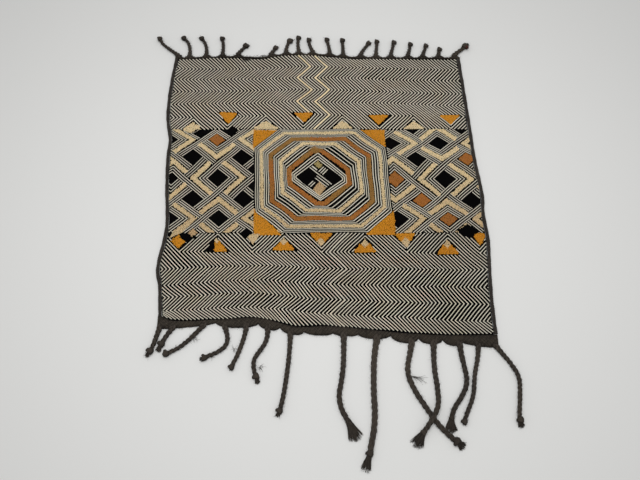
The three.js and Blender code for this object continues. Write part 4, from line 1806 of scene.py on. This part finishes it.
@dataclass
class Fringe:
    """A scalloped heading with its plaits, knots and frayed tails."""

    shape: ClothShape
    end: End
    node: str
    plaits: tuple[Plait, ...]
    frays: tuple[Fray, ...] = ()
    threads: tuple[Fray, ...] = ()
    over: int | None = None
    under: int | None = None
    heading_thickness: float = 3.2
    furrow: float = 0.2
    furrow_pitch: float = 6.8
    lumps: float = 0.12
    plait_height: float = 5.6
    root_inset: float = 6.0
    step: float = 1.5
    crossing_reach: float = 42.0
    crossing_crest: float = 0.3
    clearance: float = 0.6
    flare: float = 0.5
    flare_reach: float = 13.0
    fan_length: float = 36.0
    fan_overlap: float = 0.8
    strands: Strands = Strands()
    wraps: Wraps = Wraps()
    tails: Tails = Tails()
    hairs: Hairs = Hairs()
    # places across the heading, as shares of its width, and its height there
    heading_profile: Table = (
        (0, 0), (0, 0.5), (0.06, 0.74), (0.18, 0.9), (0.34, 0.98), (0.5, 1), (0.66, 0.98),
        (0.82, 0.88), (0.94, 0.68), (1, 0.4), (1, 0),
    )
    heading_gap: float = 0.3
    # painted shade: the heading is darker the lower it lies, dark in its furrows, with full light at this
    # many times its thickness
    heading_painted_light: float = 1.2
    furrow_slant: float = 0.9
    # reach and pace of the furrows' drift and of the outer line's unevenness
    furrow_drift: Range = (2.0, 17.0)
    edge_waves: tuple[float, float, float] = (0.35, 2.3, 5.9)
    routes: list[np.ndarray] = field(default_factory=list)

    def outer(self, x: np.ndarray) -> np.ndarray:
        """Outer line of the heading."""
        if self.end is End.FAR:
            return self.shape.far_scallop(x, np.array([plait.x for plait in self.plaits]))
        return self.shape.near_scallop(np.asarray(x, float))

    def _route(self, plait: Plait) -> np.ndarray:
        """Middle line of a plait on the floor.

        Args:
            plait: the plait.

        Returns:
            Rows of x, y, distance from the root and lift.
        """
        facing = self.end.value
        count = max(int((plait.length + self.root_inset) / self.step), 8)
        step = (plait.length + self.root_inset) / count
        stations = np.linspace(0, 1, len(plait.leans))

        def lean(distance: float) -> float:
            """The plait's lean in radians at a distance from its root."""
            return math.radians(float(np.interp(distance / plait.length, stations, plait.leans)))

        start = lean(0)
        x = plait.x - math.sin(start) * self.root_inset
        y = float(self.outer(np.array(plait.x))) - facing - facing * math.cos(start) * self.root_inset
        rows = []
        for k in range(count + 1):
            distance = k * step - self.root_inset
            rows.append((x, y, distance, 0.0))
            heading = lean(distance + step / 2)
            x += math.sin(heading) * step
            y += facing * math.cos(heading) * step
        return np.array(rows)

    def _cross(self) -> None:
        """Lifts one plait over another in a long low hump."""
        if self.over is None or self.under is None:
            return
        upper, lower = self.routes[self.over], self.routes[self.under]
        gaps = np.linalg.norm(upper[:, None, :2] - lower[None, :, :2], axis=2)
        crossing = upper[gaps.min(1).argmin(), 2]
        t = np.abs(upper[:, 2] - crossing) / self.crossing_reach
        rise = self.plait_height + self.clearance
        upper[:, 3] = rise * (1 - smoothstep(t, self.crossing_crest, 1))

    @staticmethod
    def _sides(route: np.ndarray) -> np.ndarray:
        """Unit vectors to the right of a route."""
        ways = unit(np.gradient(route[:, :2], axis=0))
        return np.stack([ways[:, 1], -ways[:, 0]], 1)

    def _braid(self, sheaf: Sheaf, plait: Plait, route: np.ndarray, rng: np.random.Generator) -> None:
        """Adds the three strands of a plait, up to its knot or its fan.

        Args:
            sheaf: where they are gathered.
            plait: the plait.
            route: its middle line.
            rng: the source of its unevenness.
        """
        stop = plait.length - (plait.knot or self.fan_length * self.fan_overlap)
        shown = route[route[:, 2] <= stop + self.step]
        right = self._sides(shown)
        strands = self.strands
        phase = rng.uniform(0, math.tau)
        flare = 1 + self.flare * np.exp(-np.maximum(shown[:, 2], 0) / self.flare_reach)
        swing = plait.width * strands.swing * flare
        strand = plait.width * strands.radius
        turns = shown[:, 2] / strands.twist * strands.usual_width / plait.width
        for k in range(3):
            turn = math.tau * (turns + k / 3) + phase
            uneven = 1 + strands.even * np.sin(shown[:, 2] / strands.pace + k)
            uneven += strands.chance * rng.normal(0, 1, len(shown))
            radius = strand * uneven * np.sqrt(flare)
            rise = (self.plait_height / 2 - strand) * strands.rise
            z = shown[:, 3] + self.plait_height / 2 + rise * np.sin(2 * turn)
            path = np.column_stack([shown[:, :2] + right * (swing * np.sin(turn))[:, None], z])
            points, faces, run = tube(path, radius, radius, strands.sides)
            points[:, 2] = np.maximum(points[:, 2], FLOOR_GAP)
            # painted shade: each strand is darker the lower it lies and lightest at its crest
            high = (points[:, 2] - np.repeat(shown[:, 3], strands.sides)) / self.plait_height
            sheaf.add(points, faces, run, np.clip(high * rng.uniform(*strands.shade), 0, 1) ** 3)

    def _knot(self, sheaf: Sheaf, plait: Plait, route: np.ndarray, rng: np.random.Generator) -> None:
        """Adds the wraps of a plait's knot.

        Args:
            sheaf: where they are gathered.
            plait: the plait.
            route: its middle line.
            rng: the source of its unevenness.
        """
        at = int(np.abs(route[:, 2] - (plait.length - plait.knot)).argmin())
        right = np.append(self._sides(route)[at], 0)
        ahead = np.array([-right[1], right[0], 0])
        wraps = self.wraps
        middle = np.append(route[at, :2], route[at, 3] + wraps.middle)
        turn = np.arange(wraps.points) * math.tau / wraps.points
        for shift, tilt, size in wraps.places:
            size *= plait.knot_size
            wide = plait.width * wraps.reach * size * rng.uniform(*wraps.varies)
            path = middle + np.outer(np.cos(turn) * wide, right)
            path += np.outer(np.sin(turn) * wraps.rise * size, (0, 0, 1))
            path += np.outer(shift + tilt * wraps.tilt_reach * np.cos(turn), ahead)
            path = np.concatenate([path, path[:1]])
            across = np.full(len(path), wraps.half_width * size)
            high = np.full(len(path), wraps.half_height)
            points, faces, run = tube(path, across, high, wraps.sides)
            points[:, 2] = np.maximum(points[:, 2], FLOOR_GAP)
            # painted shade: the wraps are darker the lower they lie
            lit = np.clip(points[:, 2] / wraps.painted_light_height, 0, 1) ** 3
            sheaf.add(points, faces, run, lit * rng.uniform(*wraps.shade))

    def _tail(self, sheaf: Sheaf, plait: Plait, route: np.ndarray, rng: np.random.Generator) -> None:
        """Adds the loose ends past a knot, or the open fan of a plait without one.

        Args:
            sheaf: where they are gathered.
            plait: the plait.
            route: its middle line.
            rng: the source of its unevenness.
        """
        tails = self.tails
        long = plait.knot or self.fan_length
        shown = route[route[:, 2] >= plait.length - long - tails.overlap]
        right = self._sides(shown)
        share = np.clip((shown[:, 2] - (plait.length - long)) / long, 0, 1)
        spread = plait.width * plait.spread
        for _ in range(int(tails.fibres * plait.spread + tails.least)):
            side = rng.uniform(-1, 1)
            reach = rng.uniform(*tails.reach) * (tails.longest - tails.shorter * abs(side))
            kept = share <= reach + tails.margin
            if kept.sum() < FEWEST:
                continue
            t = share[kept]
            bow = side * (tails.root_spread + t**tails.opening * rng.uniform(*tails.spread)) * spread
            bow += rng.uniform(*tails.wave) * np.sin(t * rng.uniform(*tails.wave_pace))
            low = shown[kept, 3] * (1 - t * tails.falls)
            z = low + tails.rest + (1 - t) * rng.uniform(*tails.lift) + rng.uniform(*tails.loose)
            path = np.column_stack([shown[kept, :2] + right[kept] * bow[:, None], z])
            radius = rng.uniform(*tails.radius) * (1 - tails.taper * t)
            points, faces, run = tube(path, radius, radius, tails.sides)
            points[:, 2] = np.maximum(points[:, 2], FLOOR_GAP)
            sheaf.add(points, faces, run, float(rng.uniform(*tails.shade)))

    def _hairs(self, sheaf: Sheaf, route: np.ndarray, half: float, rng: np.random.Generator) -> None:
        """Adds the fine fibres that stand off a felted edge.

        Args:
            sheaf: where they are gathered.
            route: rows of x, y, distance and lift along the edge.
            half: half the width of what they stand on.
            rng: the source of their unevenness.
        """
        hairs = self.hairs
        right = self._sides(route)
        t = np.linspace(0, 1, hairs.points)
        thin = np.linspace(*hairs.radius, hairs.points)
        for _ in range(int((route[-1, 2] - route[0, 2]) * hairs.per_mm)):
            k = rng.integers(0, len(route))
            side = rng.choice((-1, 1))
            out = right[k] * side
            ahead = np.array([-right[k][1], right[k][0]]) * rng.normal(0, 1)
            way = unit(out * rng.uniform(*hairs.outward) + ahead)
            long = rng.uniform(*hairs.length)
            root = route[k, :2] + out * half * rng.uniform(*hairs.root)
            curl = rng.normal(0, hairs.curl)
            bent = np.array([-way[1], way[0]])
            flat = root + np.outer(t * long, way) + np.outer(t**2 * curl * long, bent)
            z = route[k, 3] + rng.uniform(*hairs.height) + t * rng.uniform(*hairs.rise)
            path = np.column_stack([flat, np.maximum(z, hairs.least_height)])
            points, faces, run = tube(path, thin, thin, hairs.sides)
            sheaf.add(points, faces, run, float(rng.uniform(*hairs.shade)))

    @staticmethod
    def _stray(sheaf: Sheaf, fray: Fray, rng: np.random.Generator) -> None:
        """Adds the curled fibres of a fuzz.

        Args:
            sheaf: where they are gathered.
            fray: the fuzz.
            rng: the source of its unevenness.
        """
        t = np.linspace(0, 1, fray.points)
        for _ in range(fray.count):
            away = rng.normal(0, fray.gathered, 2) * (fray.across, fray.along)
            start = np.array([fray.x, fray.y]) + away
            aim = np.radians(fray.heading + rng.uniform(-1, 1) * fray.scatter)
            angle = aim + t * rng.normal(0, fray.curl)
            long = fray.long * rng.uniform(*fray.shares) / (fray.points - 1)
            flat = start + np.cumsum(np.column_stack([np.cos(angle), np.sin(angle)]) * long, axis=0)
            z = fray.height + rng.uniform(*fray.loose) + fray.wave * np.sin(t * fray.wave_pace)
            thin = rng.uniform(*fray.radius) * (1 - fray.taper * t)
            points, faces, run = tube(np.column_stack([flat, z]), thin, thin, fray.sides)
            sheaf.add(points, faces, run, float(rng.uniform(*fray.shade)))

    def _heading(self) -> tuple[Sheaf, np.ndarray]:
        """Makes the heading's ridged band.

        Returns:
            The band's sheaf, and its outer line as rows of x, y, distance and lift.
        """
        shape, facing = self.shape, self.end.value
        row = 1.0 if self.end is End.FAR else 0.0
        ends = [float(shape.panel_point(np.array(s), np.array(row))[1]) for s in (0.0, 1.0)]
        x = np.arange(float(shape.left(ends[0])), float(shape.right(ends[1])), 1.0)
        inner = (shape.far(x) if self.end is End.FAR else shape.near(x)) + facing * self.heading_gap
        reach, quick, slow = self.edge_waves
        outer = self.outer(x) + reach * np.sin(x / quick) * np.sin(x / slow)
        across, rise = np.array(self.heading_profile).T
        y = inner[:, None] + (outer - inner)[:, None] * across[None]
        slanted = x[:, None] + self.furrow_slant * np.abs(y - inner[:, None])
        drift = self.furrow_drift[0] * np.sin(x[:, None] / self.furrow_drift[1])
        ridge = 1 + self.furrow * np.sin(math.tau * slanted / self.furrow_pitch + drift)
        lumps = np.sin(slanted / 1.9 + 3 * np.sin(slanted / 11))
        ridge += self.lumps * lumps * np.sin(across * 9 + x[:, None] / 3.7)
        z = self.heading_thickness * rise[None] * np.where((across > 0) & (across < 1), ridge, 1)
        points = np.stack([np.broadcast_to(x[:, None], y.shape), y, z], -1)
        count, columns = y.shape
        faces = grid_faces(count, columns, closed=True)
        last = (count - 1) * columns
        caps = np.array([np.arange(columns)[::-1], last + np.arange(columns)])
        if self.end is End.FAR:
            faces, caps = faces[:, ::-1], caps[:, ::-1]
        sheaf = Sheaf()
        run = points[..., :2].reshape(-1, 2).copy()
        # painted shade: darker the lower the heading lies, so its furrows are dark
        high = np.clip(points[..., 2] / self.heading_thickness / self.heading_painted_light, 0, 1) ** 3
        sheaf.add(points.reshape(-1, 3), [faces, caps], run, high.ravel())
        line = np.column_stack([x, outer, x - x[0], np.zeros(count)])
        return sheaf, line

    def build(self, effects: Effects) -> list[bpy.types.Object]:
        """Makes the heading, the plaits, the knots, the tails and the loose fibres.

        Args:
            effects: the shared node groups.

        Returns:
            The pieces, which take the place of the hidden node.
        """
        rng = np.random.default_rng(SEED + 2 + self.end.value)
        self.routes = [self._route(plait) for plait in self.plaits]
        self._cross()
        heading, line = self._heading()
        braids, ends, fuzz = Sheaf(), Sheaf(), Sheaf()
        for plait, route in zip(self.plaits, self.routes):
            self._braid(braids, plait, route, rng)
            self._hairs(fuzz, route[route[:, 2] > 0], plait.width / 2, rng)
            if plait.knot:
                self._knot(ends, plait, route, rng)
            self._tail(ends, plait, route, rng)
        self._hairs(fuzz, line, 0.5, rng)
        for fray in self.frays:
            self._stray(fuzz, fray, rng)
        side = "far" if self.end is End.FAR else "near"
        names = [f"heading_{side}", f"plaits_{side}", f"knots_and_tails_{side}", f"loose_fibres_{side}"]
        sheaves, finishes = [heading, braids, ends, fuzz], [HEADING, FELT, FELT, FELT]
        if self.threads:
            names.append(f"red_thread_{side}")
            sheaves.append(Sheaf())
            finishes.append(THREAD)
            for fray in self.threads:
                self._stray(sheaves[-1], fray, rng)
        pieces = []
        for name, sheaf, finish in zip(names, sheaves, finishes):
            piece = sheaf.build(name, self.shape)
            piece.data.materials.append(finish.material(effects))
            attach(piece, "root")
            pieces.append(piece)
        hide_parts(self.node)
        return pieces


@dataclass
class Studio:
    """Floor, camera and soft lights."""

    shape: ClothShape
    camera_foot: tuple[float, float] = (-2.52, -803.63)
    camera_height: float = 1322.2
    pitch: float = 63.0
    lens: float = 45.0
    sensor: float = 36.0
    floor_size: float = 8.0
    floor_drop: float = 0.0004
    key_power: float = 2.5
    key_size: float = 1.2
    key_place: tuple[float, float, float] = (-0.05, 0.05, 1.9)
    key_spread: float = 62.0
    sky: float = 0.57

    def build(self) -> None:
        """Makes the floor, the camera, the lights and the sky."""
        bpy.ops.mesh.primitive_plane_add(size=self.floor_size, location=(0, 0, -self.floor_drop))
        floor = bpy.context.object
        floor.name = "floor"
        floor.data.transform(floor.matrix_world)
        floor.matrix_world.identity()
        floor.data.materials.append(FloorFinish().material())
        data = bpy.data.cameras.new("camera")
        data.lens, data.sensor_width = self.lens, self.sensor
        camera = bpy.data.objects.new("camera", data)
        place = np.array([*self.camera_foot, self.camera_height])
        camera.location = self.shape.to_frame(place)
        camera.rotation_euler = (math.radians(90 - self.pitch), 0, 0)
        bpy.context.scene.collection.objects.link(camera)
        bpy.context.scene.camera = camera
        self._add_key_light()
        world = bpy.data.worlds.new("soft_sky")
        world.use_nodes = True
        background = world.node_tree.nodes["Background"]
        background.inputs["Color"].default_value = (1, 1, 1, 1)
        background.inputs["Strength"].default_value = self.sky
        bpy.context.scene.world = world
        bpy.context.scene.view_settings.view_transform = "Standard"

    def _add_key_light(self) -> None:
        """Adds a soft square light that looks at the origin."""
        data = bpy.data.lights.new("key", "AREA")
        data.energy, data.size, data.spread = self.key_power, self.key_size, math.radians(self.key_spread)
        light = bpy.data.objects.new("key", data)
        light.location = self.key_place
        light.rotation_euler = (-Vector(self.key_place)).to_track_quat("-Z", "Y").to_euler()
        bpy.context.scene.collection.objects.link(light)


FAR_PLAITS = (
    Plait(-300, 69, (-50, -50, -15), 7, 8),
    Plait(-276, 56, (5, -20, -60), 7, 8),
    Plait(-241, 52, (3, -18, -50), 7, 8),
    Plait(-207, 47, (6, -6, -16), 7, 8),
    Plait(-174, 34, (34, 38, 46), 7, 9, 1.3, 0.8),
    Plait(-104, 24, (32, 32, 32), 7, 9),
    Plait(-74, 38, (0, 22, 42), 7, 10, 1.35, 0.7),
    Plait(-47, 43, (-12, 0, 18), 7, 9),
    Plait(-18, 39, (-28, -12, 8), 7, 9),
    Plait(18, 42, (-7, -11, -14), 7, 9),
    Plait(46, 43, (-1, -2, -3), 7, 9),
    Plait(83, 42, (24, 33, 42), 7, 9),
    Plait(115, 42, (5, 5, 5), 7, 9),
    Plait(146, 41, (14, 14, 14), 7, 9),
    Plait(182, 36, (18, 12, 6), 7, 9),
    Plait(213, 33, (22, 18, 14), 7, 9),
    Plait(246, 21, (13, 13, 13), 7, 7),
    Plait(280, 46, (44, 52, 22), 8, 13, 1.45, 0.7),
)
NEAR_PLAITS = (
    Plait(-284, 58, (-14, -14, -16, -26, -28), 8, 14, 1.3, 0.5),
    Plait(-261, 51, (-34, -32, -28, -22, -16), 8, 16, 1.25, 0.7),
    Plait(-206, 91, (-39, -42, -46, -62, -74), 8, 8, 1.2, 0.5),
    Plait(-170, 89, (24, 8, -48, -70, -58), 8, 9, 1.1, 0.6),
    Plait(-132, 84, (-4, -14, -18, -24, -24), 8, 6, 1.0, 0.3),
    Plait(-94, 106, (4, -12, -34, -34, 4, 18, 14), 8, 13, 1.2, 0.6),
    Plait(-54, 150, (-1, -4, -7, -9, -22), 8.5, 12),
    Plait(39, 191, (0, -3, -12, 30, 20), 9.4, 0, 1.0, 1.35),
    Plait(97, 231, (-12, -3, 2, -11, -18), 10.6, 30, 1.0, 0.85),
    Plait(157, 214, (-9, -15, 20, 32, 32, 46, 54), 9.6, 17, 1.2, 0.9),
    Plait(195, 192, (-5, -1, 7, -1, -30, -38, -24), 9.3, 28, 0.85, 1.3),
    Plait(240, 163, (3, 9, 8, -26, -38, -12, 4), 9, 25, 0.8, 1.2),
    Plait(272, 145, (-4, -16, -6, -26, -20), 8, 6, 1.05, 0.25),
    Plait(303, 152, (36, 36, 28, -4, -8, -8, 20), 8, 14, 1.15, 0.8),
)

# a mend on the far heading, and fibres that stand off the near plaits
FAR_FRAYS = (Fray(-157, 294, 8, 5, 6, 220), Fray(-125, 301, 14, 1.5, 5, 30, 60, 60))
RED_THREADS = (Fray(306, 320, 1.6, 1.6, 5, 16, height=7.6),)
NEAR_FRAYS = (
    Fray(-224, -318, 3, 2, 13, 12, -45, 45), Fray(-190, -352, 2, 3, 8, 10, -60, 60),
    Fray(-150, -345, 2, 3, 9, 10, 120, 50), Fray(-106, -374, 2, 3, 11, 12, -50, 50),
    Fray(151, -391, 2, 1, 27, 11, -14, 10, 0.5),
)


BLOCKS = (
    Interlace(
        "interlace_left", -1, -7, -2, 0,
        (
            (-4, -172, 10), (-3, -128, 7), (-2, -85.6, 4.8), (-1, -44, 1), (0, 3.5, -2),
            (1, 51.3, -6.5), (2, 92.5, -9.4), (3, 127, -12), (4, 160, -15),
        ),
        brown=((-4, 2),), bare_ahead=((-4, 2),), bare=((-2, 0),),
        v_over=((-3, 3, 1, -1),), fold=(-288.0, 2.5, 42.0),
    ),
    Interlace(
        "interlace_right", 1, 2, 7, 1,
        (
            (-4, -172, 0), (-3, -131, 1), (-2, -86.7, 2.3), (-1, -47.3, 1), (0, 0.5, 1.7),
            (1, 47.3, -2.4), (2, 82.9, -5), (3, 121, -8.9), (4, 155, -12),
        ),
        brown=((6, 1), (3, 0), (4, -1), (5, -2)), v_over=((1, -1, 1, -1),),
    ),
)
FIELDS = (
    Herringbone(
        "herringbone_far", End.FAR, (-300, -140, -40, 270),
        (
            (268, 267, 274, 265), (241, 241, 246, 236), (210, 212, 216, 204), (178, 181, 185, 175),
            (144, 148, 152, 147),
        ),
        meets=(-187, -35, 116, 259), parts=(-256, -110, 42, 184), border=116,
        cream=(-53, -17),
    ),
    Herringbone(
        "herringbone_near", End.NEAR, (-300, -120, 0, 270),
        (
            (-273, -265, -276, -291), (-247, -238, -249, -259), (-224, -212, -220, -227),
            (-192, -183, -189, -192), (-155, -155, -155, -158),
        ),
        meets=(-193, -69, 81, 233), parts=(-262, -129, -1, 157, 291), border=-117,
        cream=(46,), pale_width=1.8, cream_width=2.7, wide_tone=Tone.PALE,
    ),
)


@dataclass
class Cloth:
    """The whole cloth, built piece by piece."""

    shape: ClothShape
    effects: Effects
    field_border: float = 116.5
    block_margin: float = 1.4
    row_margin: float = 1.0
    pile_margin: float = 1.6
    medallion: Medallion = field(default_factory=Medallion)
    triangles: Triangles = field(default_factory=Triangles)

    def _pads(self) -> list[Pad]:
        """Every plush pad, in the order in which they cover each other."""
        made = [pad for block in BLOCKS for pad in block.pads()]
        made += [patch.pad() for patch in NOTCHES]
        made += self.triangles.pads()
        made += [patch.pad() for patch in EDGE_PATCHES]
        made += self.medallion.pads()
        return made + [patch.pad() for patch in HEART_PATCHES]

    def _worked(self, x: np.ndarray, y: np.ndarray) -> np.ndarray:
        """True on the panel, off the gold corner patches and the stray ones."""
        free = self.shape.inside(x, y, self.row_margin)
        for patch in (*NOTCHES, *EDGE_PATCHES):
            free = free & ~patch.inside(x, y)
        return free

    def _in_block(self, side: int) -> Mask:
        """Where the rows of one interlaced block may lie."""
        return lambda x, y: (
            (np.abs(y) < self.field_border) & (x * side > 0)
            & (self.medallion.outside(x, y) > self.block_margin) & self._worked(x, y)
        )

    def _in_field(self, end: End) -> Mask:
        """Where the rows of one herringbone field may lie."""
        return lambda x, y: (
            (y * end.value > self.field_border) & self.triangles.clear(x, y) & self._worked(x, y)
        )

    def _in_medallion(self, x: np.ndarray, y: np.ndarray) -> np.ndarray:
        """True where the medallion's rows may lie."""
        return self.medallion.outside(x, y) < self.medallion.rim

    def _on_panel(self, x: np.ndarray, y: np.ndarray) -> np.ndarray:
        """True where a tuft may stand."""
        return self.shape.inside(x, y, self.pile_margin)

    def build(self) -> None:
        """Builds the ground, the embroidery, the pile, the bindings and the fringes."""
        shape, effects = self.shape, self.effects
        report([Ground(shape).build(effects)])
        work = Embroidery(shape)
        for block in BLOCKS:
            report(work.build(block.name, block.rows(), self._in_block(block.side), effects))
        report(work.build("medallion_rows", self.medallion.rows(), self._in_medallion, effects))
        for zigzags in FIELDS:
            report(work.build(zigzags.name, zigzags.rows(shape), self._in_field(zigzags.end), effects))
        report(Pile(shape).build(self._pads(), self._on_panel, effects))
        for side, node in ((-1, "binding_left"), (1, "binding_right")):
            report([SideBinding(shape, side, node).build(effects)])
        for fringe in (
            Fringe(shape, End.FAR, "fringe_top", FAR_PLAITS, FAR_FRAYS, RED_THREADS),
            Fringe(shape, End.NEAR, "fringe_bottom", NEAR_PLAITS, NEAR_FRAYS, over=10, under=9),
        ):
            report(fringe.build(effects))


def main() -> None:
    """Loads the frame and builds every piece."""
    logging.basicConfig(level=logging.INFO, format="%(message)s")
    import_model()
    bpy.ops.object.select_all(action="DESELECT")
    shape = ClothShape()
    Studio(shape).build()
    Cloth(shape, Effects()).build()


if __name__ == "__main__":
    main()
